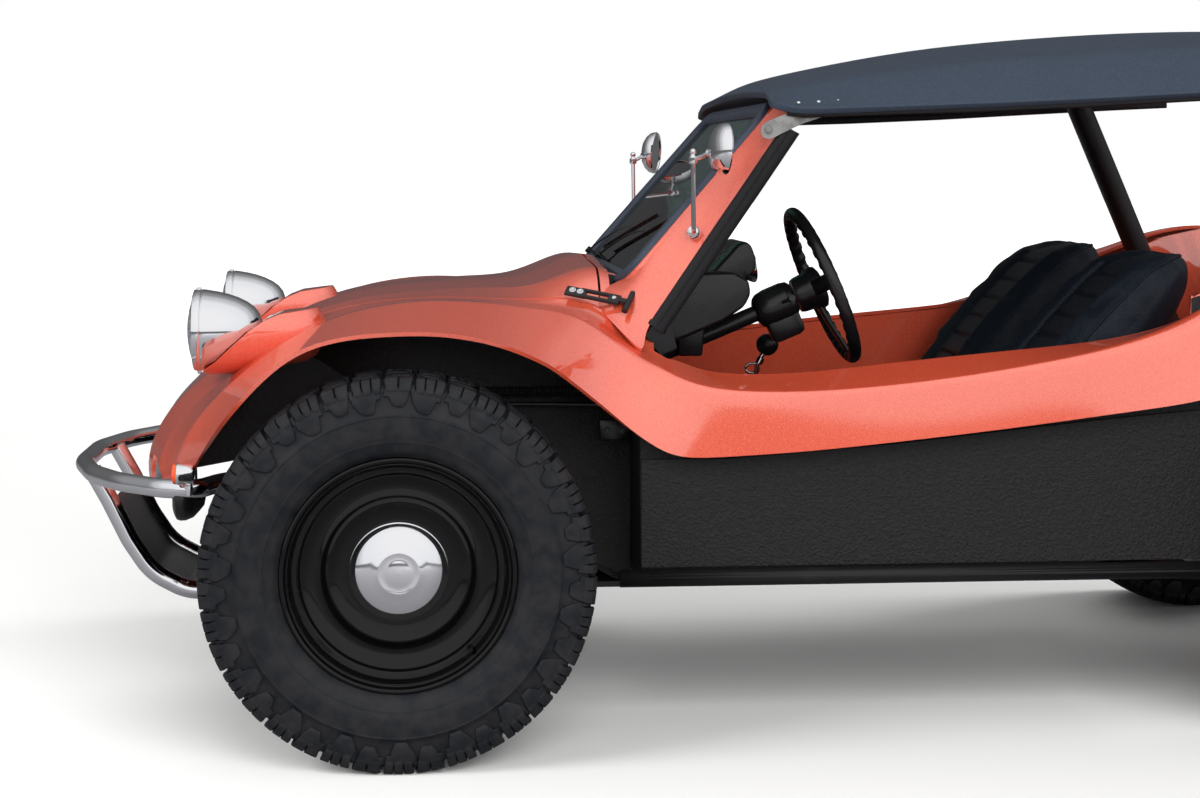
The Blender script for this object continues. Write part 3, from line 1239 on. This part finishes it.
class BUGGY_OT_lamps(bpy.types.Operator):
    """Headlamps in their pods, indicators and horns"""

    bl_idname = "buggy.lamps"
    bl_label = "Lamps"

    def execute(self, context):
        clip = brick(-406, -396, -394, -386, 884, 889, 1.0)
        clamp = bolt((-401, -390, 719), (0, 0, -1), 4, 5)
        piece(mirrored([turned(BOWL_SHAPE, LAMP, LAMP_TO, 96), clip, clamp]), "lamp_bowls", "chrome_trim",
              ("headlamp_bowls",), 40)
        piece(mirrored(turned(LENS_SHAPE, LAMP, LAMP_TO, 96)), "lamp_lenses", "lamp_glass",
              ("headlamp_lenses",), 40)
        pod = cut_by(turned(POD_SHAPE, LAMP, LAMP_TO, 96),
                     [prism([(-420, 727), (-388, 727), (-366, 742), (-330, 776), (-296, 806), (-266, 826),
                             (-236, 838), (-140, 852), (-140, 1000), (-420, 1000)], -520, -260)])
        bmesh.ops.bevel(pod, geom=[e for e in pod.edges if e.is_manifold and e.calc_face_angle() > 0.7],
                        offset=0.003, segments=3, affect="EDGES", profile=0.5, material=-1,
                        clamp_overlap=True)
        piece(mirrored(pod), "lamp_pods", "flake_paint", ("body_shell",), 50)
        at, to = (0, -562, 536), (1, -562, 536)
        cup = merged([turned([(-430, TIP), (-431, 19.5), (-429, 21.4), (-424, 21.4), (-422, 20.4),
                              (-400, 20.0), (-397, 18), (-396.5, TIP)], at, to, 48),
                      bolt((-410, -563, 512), (0, 0, -1), 5, 6),
                      bar((-410, -563, 516), (-410, -563, 498), 3.5)])
        piece(mirrored(cup), "indicator_cups", "chrome_trim", (), 40)
        glass = turned([(-430, TIP), (-430, 20), (-434, 20.4), (-437, 19), (-438.5, 14), (-439, TIP)], at, to,
                       48)
        piece(mirrored(glass), "indicator_lenses", "amber_lens", ("front_indicators",), 40)
        horn = turned([(-444, TIP), (-444, 26), (-441, 35), (-437, 42), (-430, 44.5), (-420, 44), (-405, 38),
                       (-392, 24), (-384, 14), (-381, TIP)], (0, -492, 478), (1, -492, 478), 56)
        stay = ribbon([(-405, -500, 470), (-398, -506, 505), (-398, -512, 540)], (1, 0, 0), 22, 4, 12)
        piece(mirrored([horn, stay]), "horn_pair", "black_trim", (), 40)
        return {"FINISHED"}


def bent(points, radii, turns=8):
    """A path through points with its corners rounded."""
    made = [Vector(points[0])]
    for a, b, c, r in zip(points, points[1:], points[2:], radii):
        a, b, c = Vector(a), Vector(b), Vector(c)
        u, v = (a - b).normalized(), (c - b).normalized()
        half = u.angle(v) / 2
        cut = min(r / math.tan(half), 0.48 * (a - b).length, 0.48 * (c - b).length)
        centre = b + (u + v).normalized() * (cut / math.cos(half))
        start, end = b + u * cut - centre, b + v * cut - centre
        away = start.length
        start, end = start / away, end / away
        made += [centre + start.slerp(end, k / turns) * away for k in range(turns + 1)]
    return made + [Vector(points[-1])]


# The nudge bar's left half in plan with the radii of its bends, then down tubes and skid sheet from the side
HALF_LOOP = ((-146, -372), (-262, -372), (-352, -423), (-397, -534), (-469, -501), (-559, -412), (-628, -290),
             (-674, -120))
LOOP_BENDS = (120, 110, 45, 100, 260, 280, 290)
DOWN = ((-646, 496), (-610, 430), (-569, 345), (-524, 276), (-450, 236), (-141, 236))
SKID = ((-606, 425), (-565, 342), (-520, 272), (-448, 233), (-200, 231))


class BUGGY_OT_bumpers(bpy.types.Operator):
    """Chrome tube bumpers with their brackets, and the skid plate"""

    bl_idname = "buggy.bumpers"
    bl_label = "Bumpers"

    def execute(self, context):
        loop = [(x, y, 500) for x, y in HALF_LOOP] + [(x, -y, 500) for x, y in HALF_LOOP[::-1]]
        bends = LOOP_BENDS + LOOP_BENDS[::-1]
        legs = hose(bent([(x, -190, z) for x, z in DOWN], (60, 200, 130, 110), 14), 19, 1, 32)
        feet = [brick(-412, -401, -570, -528, 492, 528, 2), bolt((-401, -549, 516), (1, 0, 0), 5, 4)]
        piece([hose(bent(loop, bends, 14), 19, 1, 32), mirrored([legs] + feet)], "nudge_bar", "chrome_trim",
              ("front_bumper",), 50)
        path = [Vector((x + 1.5, 0, z + 2.5)) for x, z in SKID]
        sheet = ribbon(bent(path, (60, 60, 60), 4), Vector((0, 0, 1)), 342, 5, 24, 0.3)
        studs = [rivet((x, y, z), (-0.8, 0, -0.6) if x < -500 else (-0.2, 0, -1), 6, 4)
                 for x, z in ((-590, 396), (-545, 310), (-482, 251), (-330, 231))
                 for y in (-150, -50, 50, 150)]
        piece([sheet] + studs, "skid_sheet", "brushed_plate", ("skid_plate",), 40)
        return {"FINISHED"}


# Steering column's axis, the way square to it, and the wheel's hub; outlines of dash and hood
AX = Vector((math.cos(math.radians(22.7)), 0, math.sin(math.radians(22.7))))
OVER = Vector((-AX.z, 0, AX.x))
HUB = Vector((880, -330, 884))
# The wheel's rim: radius of its middle, and the grip's two radii
WHEEL_R, GRIP_R, GRIP_WIDE = 162, 12.6, 13.4
DASH = ((470, 836), (505, 792), (545, 777), (575, 788), (650, 820), (694, 850), (707, 876), (702, 903),
        (672, 919), (560, 921), (496, 908), (470, 884))
HOOD = ((604, 870), (612, 896), (640, 922), (688, 974), (702, 980), (714, 974), (726, 946), (726, 922),
        (704, 898))


class BUGGY_OT_controls(bpy.types.Operator):
    """Dash with its instruments, steering column and wheel, gear lever and handbrake"""

    bl_idname = "buggy.controls"
    bl_label = "Dash and controls"

    def execute(self, context):
        dash = rounded(prism(DASH, -488, 488), 9, 4)
        hood = rounded(prism(HOOD, -428, -232), 11, 4)
        hanger = rounded(prism([(575, 740), (625, 740), (632, 830), (568, 830)], -362, -298), 5)
        lip = hose([(712, y, 905) for y in (-484, -440, 0, 440, 484)], 6, 4, 12)
        piece([dash, hood, hanger, lip], "dash_cover", "black_trim", ("dash_panel",), 40)
        rims, faces = [], []
        for y, z, r in ((-382, 934, 34), (-296, 934, 34), (-190, 880, 20), (-135, 880, 20), (60, 880, 20),
                        (115, 880, 20)):
            x = 722 if r > 30 else 702
            at, to = (x, y, z), (x + 1, y, z + 0.2)
            rims.append(turned([(-4, r - 3), (4, r - 2), (6, r), (5, r + 3), (1, r + 4), (-4, r + 4)], at, to,
                               48))
            faces.append(turned([(-2, TIP), (-2, r - 4), (1, r - 4), (1.5, r * 0.2), (4, r * 0.18), (4, TIP)],
                                at, to, 48))
        piece(rims, "gauge_bezels", "chrome_trim", (), 40)
        piece(faces, "gauge_faces", "rim_black", (), 40)

        stand = AX.to_track_quat("X", "Z").to_matrix()
        low = HUB - AX * 104 - OVER * 44
        box = brick(low.x - 36, low.x + 36, low.y - 25, low.y + 25, low.z - 30, low.z + 30, 12, stand)
        column = [turned([(-420, TIP), (-420, 17), (-150, 17), (-150, TIP)], HUB, HUB + AX, 32),
                  turned([(-152, TIP), (-152, 22), (-147, 31), (-138, 37), (-120, 40), (-84, 40), (-70, 37),
                          (-64, 30), (-62, TIP)], HUB, HUB + AX, 40), box]
        knob = HUB - AX * 96 + Vector((0, -150, 20))
        column += [hose([HUB - AX * 96 + Vector((0, -34, 4)), HUB - AX * 92 + Vector((0, -90, 12)), knob], 4,
                        5, 12), hose([knob + Vector((0, 26, -4)), knob], 6.5, 2, 12)]
        piece(column, "column_shroud", "black_trim", ("steering_column",), 40)

        across = Vector((0, 1, 0))
        rows, turns = [], 192
        for k in range(turns):
            a = 2 * math.pi * k / turns
            out = across * math.cos(a) + OVER * math.sin(a)
            grip = GRIP_R + 1.5 * min(1.0, max(-1.0, 2.0 * math.cos(36 * a)))
            row = []
            for j in range(20):
                b = 2 * math.pi * j / 20
                r = grip if math.cos(b) < 0.3 else GRIP_WIDE
                row.append(car(*(HUB + out * (WHEEL_R + r * math.cos(b)) + AX * r * math.sin(b))))
            rows.append(row)
        rim = laid(rows + rows[:1], True)
        spokes = []
        for degrees in (8, 172, 270):
            a = math.radians(degrees)
            out = across * math.cos(a) + OVER * math.sin(a)
            spokes.append(ribbon([HUB + out * 20 - AX * 24, HUB + out * 70 - AX * 18,
                                  HUB + out * 118 - AX * 9, HUB + out * 156 - AX * 2], AX, 34, 9, 20, 0.6))
        hub = turned([(-60, TIP), (-60, 35), (-52, 38), (-30, 40), (-12, 46), (-4, 44), (1, 34), (3, 18),
                      (3.5, TIP)], HUB, HUB + AX, 56)
        piece([rim, hub] + spokes, "wheel_rim", "black_trim", ("steering_wheel",), 50, body="steering_wheel")

        rod_path = [Vector(p) for p in ((770, 0, 440), (778, 0, 520), (790, 0, 640), (798, 0, 692),
                                        (813, 0, 716))]
        ring_points = [Vector((785 + 16 * math.cos(a), 0, 680 + 11 * math.sin(a)))
                       for a in (2 * math.pi * k / 16 for k in range(17))]
        brake = [bar((960, 0, 424), (996, 0, 464), 8), bar((990, 0, 460), (1040, 0, 473), 8)]
        piece([hose(rod_path, 5.5), hose(ring_points, 2.8, 2, 10), bar((799, 0, 690), (806, 0, 704), 8.5)]
              + brake, "gear_rod", "chrome_trim", ("gear_lever",), 40)
        ball = turned([(-23.5, TIP), (-23, 6)] + [(-25 * math.cos(a), 25 * math.sin(a))
                                                  for a in (math.radians(d) for d in range(20, 180, 8))]
                      + [(25, TIP)], (819, 0, 733), (820, 0, 734.6), 48)
        boot = turned([(0, TIP), (0, 44), (3, 44), (6, 38), (14, 30), (18, 31), (26, 22), (30, 23), (40, 12),
                       (46, 7), (46, TIP)], (770, 0, 426), (771, 0, 436), 40)
        grip = turned([(0, TIP), (0, 12), (4, 14), (30, 13), (60, 14), (92, 13.5), (100, 9), (101, TIP)],
                      (1036, 0, 472), (1132, 0, 497), 32)
        piece([ball, boot, grip], "gear_knob", "black_trim", ("gear_lever",), 45)
        return {"FINISHED"}


# Engine: crankcase from the side, places of the barrels, the fan's axis as two points, the crank's height,
# the belt's place, and the fan shroud from behind
CASE = ((2182, 330), (2230, 292), (2420, 292), (2468, 340), (2468, 500), (2400, 543), (2250, 543),
        (2182, 500))
BARRELS, BARREL_Z = (2252, 2372), 440
FAN, FAN_TO, CRANK_Z, BELT_X = (2306, 0, 730), (2307, 0, 730), 420, 2479
SHROUD = ((-330, 549), (330, 549), (331, 610), (322, 650), (280, 700), (215, 752), (165, 812), (120, 842),
          (60, 850), (-60, 850), (-120, 842), (-165, 812), (-215, 752), (-280, 700), (-322, 650), (-331, 610))


class BUGGY_OT_engine(bpy.types.Operator):
    """Air-cooled flat four with its shroud, generator, belt, carburettor and leads"""

    bl_idname = "buggy.engine"
    bl_label = "Engine"

    def execute(self, context):
        parts = [rounded(prism(CASE, -110, 110), 9, 3), rounded(prism(CASE, -4, 4), 1)]
        bmesh.ops.scale(parts[1], vec=(1.02, 1, 1.03), verts=parts[1].verts,
                        space=Matrix.Translation(-car(2325, 0, 418)))
        fins = []
        for k in range(16):
            fins += [(120 + k * 11, 46), (120 + k * 11, 58), (123.5 + k * 11, 58), (123.5 + k * 11, 46)]
        for side in (-1, 1):
            for x in BARRELS:
                parts.append(turned([(98, TIP), (98, 46)] + fins + [(300, 46), (300, TIP)], (x, 0, BARREL_Z),
                                    (x, side, BARREL_Z), 40))
            y0, y1 = (-340, -304) if side < 0 else (304, 340)
            parts.append(rounded(prism([(2206, 388), (2418, 388), (2418, 492), (2206, 492)], y0, y1), 6))
            parts += [brick(2197, 2427, side * 262 - 38, side * 262 + 38, z, z + 5, 1)
                      for z in range(387, 492, 12)]
            parts.append(brick(2210, 2414, side * 262 - 30, side * 262 + 30, 386, 494, 3))
            parts += [bolt((x, side * 341, z), (0, side, 0), 6, 6) for x in (2224, 2312, 2400)
                      for z in (398, 482)]
            for x in (2232, 2272, 2352, 2392):
                parts.append(bar((x, side * 112, 352), (x, side * 300, 372), 8, soft=2))
        parts += [bolt((x, y, 291), (0, 0, -1), 6, 5) for x in (2270, 2325, 2380) for y in (-60, 60)]
        parts += [brick(2240, 2440, y - 3, y + 3, 284, 300, 1) for y in (-80, -40, 0, 40, 80)]
        parts += [bolt((2469, y, z), (1, 0, 0), 6, 5) for y in (-92, 92) for z in (352, 420, 488)]
        piece(parts, "engine_case", "cast_alloy", ("engine_block",), 35)
        covers, wires = [], []
        for side in (-1, 1):
            y0, y1 = (-371, -341) if side < 0 else (341, 371)
            covers.append(rounded(prism([(2208, 394), (2416, 394), (2416, 486), (2208, 486)], y0, y1), 12, 4))
            wires.append(hose(curve_through([(2214, side * 350, 492), (2230, side * 372, 452),
                                             (2312, side * 374, 440), (2394, side * 372, 452),
                                             (2410, side * 350, 492)], 4), 3, 1, 10))
        piece(covers, "rocker_covers", "black_frame", ("engine_block",), 40)
        piece(wires, "rocker_bails", "chrome_trim", (), 40)

        inner = [(y * 0.88, 700 + (z - 700) * 0.86) for y, z in SHROUD]
        cowl = [rounded(prism(SHROUD, 2216, 2304, "YZ"), 14, 4),
                rounded(prism(inner, 2300, 2309, "YZ"), 4, 2)]
        cowl += [turned([(-6, TIP), (-6, 112), (3, 112), (7, 104), (8, 92), (12, 84), (12, TIP)],
                        (2304, 0, 730), (2305, 0, 730), 64)]
        cowl += [ribbon([(2310, y, 575), (2310, y * 1.02, 640)], (1, 0, 0), 16, 8, 12)
                 for y in (-225, -150, 150, 225)]
        cowl += [bolt((2310, 100 * math.cos(a), 730 + 100 * math.sin(a)), (1, 0, 0), 4.5, 4)
                 for a in (math.radians(45 + 90 * k) for k in range(4))]
        cowl += [rounded(prism([(2190, 549), (2450, 549), (2450, 553), (2190, 553)], s * 215 - 105,
                               s * 215 + 105), 1.5) for s in (-1, 1)]
        piece(cowl, "fan_cowl", "black_frame", ("fan_shroud",), 40)

        body = [(2, TIP), (2, 50), (6, 52), (24, 52), (26, 50.5), (30, 50.5), (32, 52), (96, 52), (98, 50.5),
                (102, 50.5), (104, 52), (124, 52), (130, 46), (133, 30), (133, 12), (170, 12), (170, TIP)]
        extras = [turned(body, FAN, FAN_TO, 56)]
        extras += [turned([(x, 52.2), (x + 2, 54.5), (x + 14, 54.5), (x + 16, 52.2)], FAN, FAN_TO, 56)
                   for x in (40, 72)]
        extras.append(rounded(prism([(-34, 546), (34, 546), (24, 600), (30, 688), (-30, 688), (-24, 600)],
                                    2330, 2400, "YZ"), 6))
        flange = [(0, 22), (0, 66), (3, 68), (6, 60), (9, 54), (12, 60), (15, 68), (18, 66), (18, 22)]
        extras.append(turned([(0, TIP)] + flange + [(10, 20), (10, 12), (22, 12), (24, 8), (24, TIP)],
                             (2470, 0, 730), (2453, 0, 730), 64))
        crank = [(0, TIP), (0, 80), (3, 84), (6, 76), (9, 72), (12, 76), (15, 84), (18, 80), (18, 30),
                 (10, 26), (10, 16), (20, 14), (22, 8), (22, TIP)]
        extras.append(turned(crank, (2470, 0, CRANK_Z), (2471, 0, CRANK_Z), 72))
        extras += [hose([(2384, 0, 612), (2384, -110, 612)], 21, 3, 24),
                   hose(curve_through([(2384, -318, 500), (2384, -318, 545), (2384, -292, 576),
                                       (2384, -240, 580), (2384, 0, 580), (2384, 240, 580), (2384, 292, 576),
                                       (2384, 318, 545), (2384, 318, 500)], 5), 15, 1, 20),
                   rounded(prism([(-146, 590), (-74, 590), (-74, 600), (-84, 604), (-84, 650), (-76, 654),
                                  (-76, 684), (-144, 684), (-144, 640), (-138, 632), (-138, 604),
                                  (-146, 600)], 2360, 2408, "YZ"), 4),
                   bolt((2384, -132, 601), (0, 0, 1), 5, 6), bolt((2384, -88, 601), (0, 0, 1), 5, 6),
                   bar((2360, -60, 664), (2410, -60, 664), 3), bar((2384, -78, 664), (2384, -56, 664), 4)]
        piece(extras, "engine_dress", "cast_alloy", ("engine_ancillaries",), 38)
        cleaner = turned([(0, TIP), (0, 66), (4, 70), (22, 70), (24, 72), (28, 72), (30, 70), (48, 69),
                          (58, 60), (64, 44), (67, 20), (68, 6), (76, 5), (77, TIP)], (2384, -110, 686),
                         (2384, -110, 687), 64)
        tube = hose([(2384, -60, 706), (2378, -20, 704), (2366, 20, 690), (2356, 42, 660)], 14, 8, 20,
                    (7, 2.0))
        piece(cleaner, "air_cleaner", "chrome_trim", ("engine_ancillaries",), 40)
        belt = []
        for k in range(97):
            a = 2 * math.pi * k / 96
            side, r, z = math.sin(a), *((60, FAN[2]) if math.cos(a) > 0 else (77, CRANK_Z))
            belt.append((BELT_X, r * side, z + r * math.cos(a)))
        cap = turned([(0, TIP), (0, 26), (26, 28), (30, 24), (48, 22), (52, 8), (60, 7), (60, TIP)],
                     (2352, 78, 590), (2352, 84, 640), 36)
        stem = bar((2346, 72, 545), (2352, 78, 592), 14)
        leads = [cap, stem, tube, ribbon(belt, (1, 0, 0), 9, 11, 12, 0.8)]
        for side in (-1, 1):
            for j, x in enumerate(BARRELS):
                leads.append(hose(curve_through([(2352, 84 + 6 * side, 640),
                                                 (2350 + 8 * j, 84 + 60 * side, 664 - 14 * j),
                                                 (2340, side * 200, 606 + 10 * j), (x + 10, side * 285, 560),
                                                 (x + 6, side * 296, 520), (x + 4, side * 292, 496)], 5), 3.6,
                                  1, 10))
        piece(leads, "belt_and_leads", "black_trim", (), 40)
        return {"FINISHED"}


# The rear bar's left half in plan
REAR_LOOP = ((2300, -501), (2460, -501), (2600, -440), (2661, -300))


class BUGGY_OT_tail(bpy.types.Operator):
    """Exhaust, rear bumper, tail lamps and the rubber boots of the half axles"""

    bl_idname = "buggy.tail"
    bl_label = "Tail"

    def execute(self, context):
        pipes = [hose(bent([(x, -330, 392), (x, -334, 300), (x + 60, -330, 266), (2520, -250, 292),
                            (2558, -240, 348)], (40, 40, 60, 30), 8), 17, 1, 24) for x in BARRELS]
        pipes += [turned([(0, TIP), (0, 25), (5, 26), (9, 22), (9, TIP)], (x, -330, 384), (x, -330, 383), 32)
                  for x in BARRELS]
        ends = [(-333, TIP), (-333, 34), (-331, 46), (-325, 56), (-316, 61), (-300, 62), (-298, 63.5),
                (-292, 63.5), (-290, 62), (-204, 62), (-202, 60.5), (-196, 60.5), (-194, 62), (-8, 62),
                (-6, 60.5), (0, 60.5)]
        ends += [(-a, r) for a, r in ends[-2::-1]]
        silencer = turned(ends, (2560, 0, 360), (2560, 1, 360), 64)
        clamp = [turned([(-9, 19), (-9, 21.5), (9, 21.5), (9, 19)], (2540, -245, 322), (2548, -242, 336), 32)]
        tails = [turned([(0, 14), (0, 15.5), (50, 15.5), (50, 14)], (2612, -110, 341), (2662, -110, 333), 32)]
        piece([mirrored(pipes + clamp + tails), silencer], "exhaust_set", "exhaust_steel",
              ("exhaust",), 45)
        tips = turned([(0, 15.6), (1, 17.2), (34, 17.6), (37, 17), (37.5, 15.4), (36, 14.4), (2, 14.2)],
                      (2632, -110, 338), (2672, -110, 331.5), 40)
        piece(mirrored(tips), "exhaust_tips", "chrome_trim", (), 40)
        path = [(x, y, 600) for x, y in REAR_LOOP] + [(x, -y, 600) for x, y in REAR_LOOP[::-1]]
        tube = hose(bent(path, (120, 110, 110, 110, 110, 120), 12), 18.6, 1, 32)
        nuts = [bolt((x, -501, 619), (0, 0, 1), 6, 6) for x in (2330, 2370)]
        piece([tube, mirrored(nuts)], "tail_bar", "chrome_trim", ("rear_bumper",), 50)
        lean = math.radians(36)
        at, to = ((WHEELBASE + math.cos(lean) * r, -575, REAR_R + math.sin(lean) * r) for r in (530, 531))
        glass = turned([(0, TIP), (0, 40), (10, 41), (12, 38), (15, 40), (18, 36.5), (21, 37), (24, 31),
                        (26, 30), (29, 21), (30.5, 12), (31, TIP)], at, to, 56)
        piece(mirrored(glass), "tail_lenses", "red_lens", ("tail_lamps",), 40)
        trim = turned([(-2, 40), (-2, 47), (8, 47), (12, 45), (14, 42), (12, 40.5)], at, to, 56)
        piece(mirrored(trim), "tail_rims", "chrome_trim", (), 40)
        boot = [(96, TIP), (96, 62), (104, 62)]
        for k in range(5):
            boot += [(108 + k * 14, 50 - k * 2), (115 + k * 14, 60 - k * 3)]
        boot += [(184, 36), (196, 36), (196, TIP)]
        boots = merged([turned(boot, (WHEELBASE, 0, REAR_R), (WHEELBASE, side, REAR_R), 48)
                        for side in (-1, 1)])
        piece(boots, "axle_boots", "black_trim", (), 40)
        return {"FINISHED"}


# Seat pads on the left seat, from one end to the other: front (or top) point and rear (or lower) point in
# x and z, half width, and how far the bolsters stand out
SEAT_Y = 297.0
SEAT_BACK = (((1210, 474), (1292, 356), 180, 20), ((1228, 505), (1322, 382), 198, 34),
             ((1286, 588), (1374, 456), 206, 50), ((1350, 673), (1428, 548), 209, 58),
             ((1428, 767), (1486, 648), 209, 58), ((1502, 850), (1552, 754), 203, 50),
             ((1558, 906), (1606, 844), 190, 38), ((1598, 936), (1638, 896), 168, 24),
             ((1622, 952), (1650, 922), 134, 10), ((1634, 957), (1652, 940), 92, 0))
SEAT_CUSHION = (((812, 408), (816, 352), 180, 4), ((822, 426), (828, 340), 198, 16),
                ((862, 438), (866, 338), 207, 30), ((980, 436), (980, 338), 209, 36),
                ((1100, 432), (1100, 338), 209, 40), ((1200, 446), (1226, 338), 206, 40),
                ((1252, 452), (1272, 342), 196, 28), ((1274, 436), (1284, 356), 180, 8))
# Distance from seam to seam, and the seams' heights on the back and places along the cushion
PITCH_Z, PITCH_X = 44, 60
PLEAT_Z = tuple(905 - PITCH_Z * k for k in range(10))
PLEAT_X = tuple(880 + PITCH_X * k for k in range(6))
# Half the width of the pleated middle
PLEAT_Y = 99
# The pads' cloth, in metres: size of its mesh, and the most that a point may move
VOXEL, CAP = 0.008, 0.012
CLOTH_FRAMES = 20


def pad(rows, y):
    """A closed pad with raised bolsters through rows of sections."""
    made = []
    for front, rear, half, raise_by in rows:
        f, b = Vector((front[0], 0, front[1])), Vector((rear[0], 0, rear[1]))
        out = (f - b).normalized()
        row = []
        for k in range(25):
            side = -1 + 2 * k / 24
            rise = min(max((abs(side) - 0.44) / 0.22, 0.0), 1.0)
            rise = rise * rise * (3 - 2 * rise)
            edge = max((abs(side) - 0.78) / 0.22, 0.0)
            down = 1 - math.sqrt(max(1 - edge * edge, 0.0))
            p = f + out * raise_by * (0.54 + 0.46 * rise)
            row.append(car(*(p.lerp(b, 0.55 * down) + Vector((0, y + side * half, 0)))))
        for k in range(1, 12):
            side = 1 - 2 * k / 12
            edge = max((abs(side) - 0.7) / 0.3, 0.0)
            down = 1 - math.sqrt(max(1 - edge * edge, 0.0))
            row.append(car(*(b.lerp(f, 0.4 * down) + Vector((0, y + side * half, 0)))))
        made.append(row)
    return closed(laid(made, True), 40)


def puffed(bm):
    """A pad swollen by a short cloth simulation in which no point moves further than the cap."""
    bm = modified(bm, ("REMESH", {"mode": "VOXEL", "voxel_size": VOXEL}))
    made = placed(bm, "pad")
    home = [v.co.copy() for v in made.data.vertices]
    cloth = made.modifiers.new("cloth", "CLOTH")
    cloth.settings.use_pressure = True
    cloth.settings.uniform_pressure_force = 4.0
    cloth.settings.effector_weights.gravity = 0.0
    cloth.point_cache.frame_start = 1
    cloth.point_cache.frame_end = CLOTH_FRAMES
    for number in range(1, CLOTH_FRAMES + 1):
        bpy.context.scene.frame_set(number)
    bm = settled(made)
    for v, at in zip(bm.verts, home):
        move = v.co - at
        if move.length > CAP:
            v.co = at + move * (CAP / move.length)
    bpy.context.scene.frame_set(1)
    return bm


def pleated(bm, y, levels, pitch, upright):
    """Sewn channels across the pad's middle and a seam down each side of it."""
    bm = modified(bm, ("SMOOTH", {"iterations": 6}), finer(1))
    bm.normal_update()
    moves = []
    for v in bm.verts:
        p = (v.co - car(0, 0, 0)) * 1000
        facing = -v.normal.x * 0.8 + v.normal.z * 0.6 if upright else v.normal.z
        if facing < 0.35:
            continue
        off = abs(p.y - y)
        level = p.z if upright else p.x
        near = min(abs(level - k) for k in levels) / (pitch / 2)
        inside = min(levels) - 20 < level < max(levels) + 20
        puff = 13.0 * (1 - (1 - min(near, 1.0)) ** 2.5) - 7.5
        fade = min(max((PLEAT_Y - off) / 12, 0.0), 1.0)
        sink = -puff * fade * inside
        sink = max(sink, 7.0 * math.exp(-((off - PLEAT_Y) / 4.5) ** 2) * inside)
        moves.append((v, -v.normal * sink / 1000))
    for v, move in moves:
        v.co += move
    return bm


class BUGGY_OT_seats(bpy.types.Operator):
    """Bucket seats with pleated middles, bolsters and piping"""

    bl_idname = "buggy.seats"
    bl_label = "Seats"

    def execute(self, context):
        for name, y in (("left", -SEAT_Y), ("right", SEAT_Y)):
            for part, rows, levels, pitch in (("back", SEAT_BACK, PLEAT_Z, PITCH_Z),
                                              ("cushion", SEAT_CUSHION, PLEAT_X, PITCH_X)):
                bm = pleated(puffed(pad(rows, y)), y, levels, pitch, part == "back")
                made = piece(bm, f"seat_{part}_{name}", "seat_vinyl", (f"seat_{name}",), 70)
                if part == "back":
                    surface = BVHTree.FromPolygons([v.co for v in made.data.vertices],
                                                   [p.vertices for p in made.data.polygons])
            route = []
            for front, rear, half, raise_by in SEAT_BACK[1:]:
                out = (Vector((front[0], 0, front[1])) - Vector((rear[0], 0, rear[1]))).normalized()
                route.append((Vector((front[0], 0, front[1])) + out * raise_by * 0.8, half * 0.95))
            guide = [p + Vector((0, y - half, 0)) for p, half in route]
            guide += [p + Vector((0, y + half, 0)) for p, half in route[::-1]]
            points = []
            for p in curve_through(guide, 5):
                place, normal, _, _ = surface.find_nearest(car(*p))
                points.append((place + normal * 0.0012 - car(0, 0, 0)) * 1000)
            rails = [brick(880, 1220, y + k * 80 - 15, y + k * 80 + 15, 300, 340, 2) for k in (-1, 1)]
            piece(hose(points, 2.8, 1, 8), f"seat_piping_{name}", "seat_vinyl", (f"seat_{name}",), 50)
            piece(rails, f"seat_rails_{name}", "black_frame", (f"seat_{name}",), 30)
        return {"FINISHED"}


class BUGGY_PT_panel(bpy.types.Panel):
    """Lists the steps that dress the buggy"""

    bl_label = "Beach buggy"
    bl_idname = "BUGGY_PT_panel"
    bl_space_type = "VIEW_3D"
    bl_region_type = "UI"
    bl_category = "Buggy"

    def draw(self, context):
        for name in ("paint_deep", "paint_light"):
            self.layout.prop(context.scene.buggy_colours, name)
        for step in STEPS:
            self.layout.operator(step.bl_idname)


STEPS = (BUGGY_OT_stage, BUGGY_OT_tyres, BUGGY_OT_rims, BUGGY_OT_body, BUGGY_OT_roof, BUGGY_OT_screen,
         BUGGY_OT_latches, BUGGY_OT_lamps, BUGGY_OT_bumpers, BUGGY_OT_controls, BUGGY_OT_seats,
         BUGGY_OT_engine, BUGGY_OT_tail, BUGGY_OT_plain)
CLASSES = (BuggyColours, *STEPS, BUGGY_PT_panel)


def register():
    """Adds the steps, the panel and the colours to Blender."""
    for item in CLASSES:
        bpy.utils.register_class(item)
    bpy.types.Scene.buggy_colours = bpy.props.PointerProperty(type=BuggyColours)


def unregister():
    """Takes them out again."""
    del bpy.types.Scene.buggy_colours
    for item in reversed(CLASSES):
        bpy.utils.unregister_class(item)


def main():
    """Makes the whole buggy and writes down how large it has become."""
    register()
    for step in STEPS:
        group, name = step.bl_idname.split(".")
        getattr(getattr(bpy.ops, group), name)()


if __name__ == "__main__":
    main()
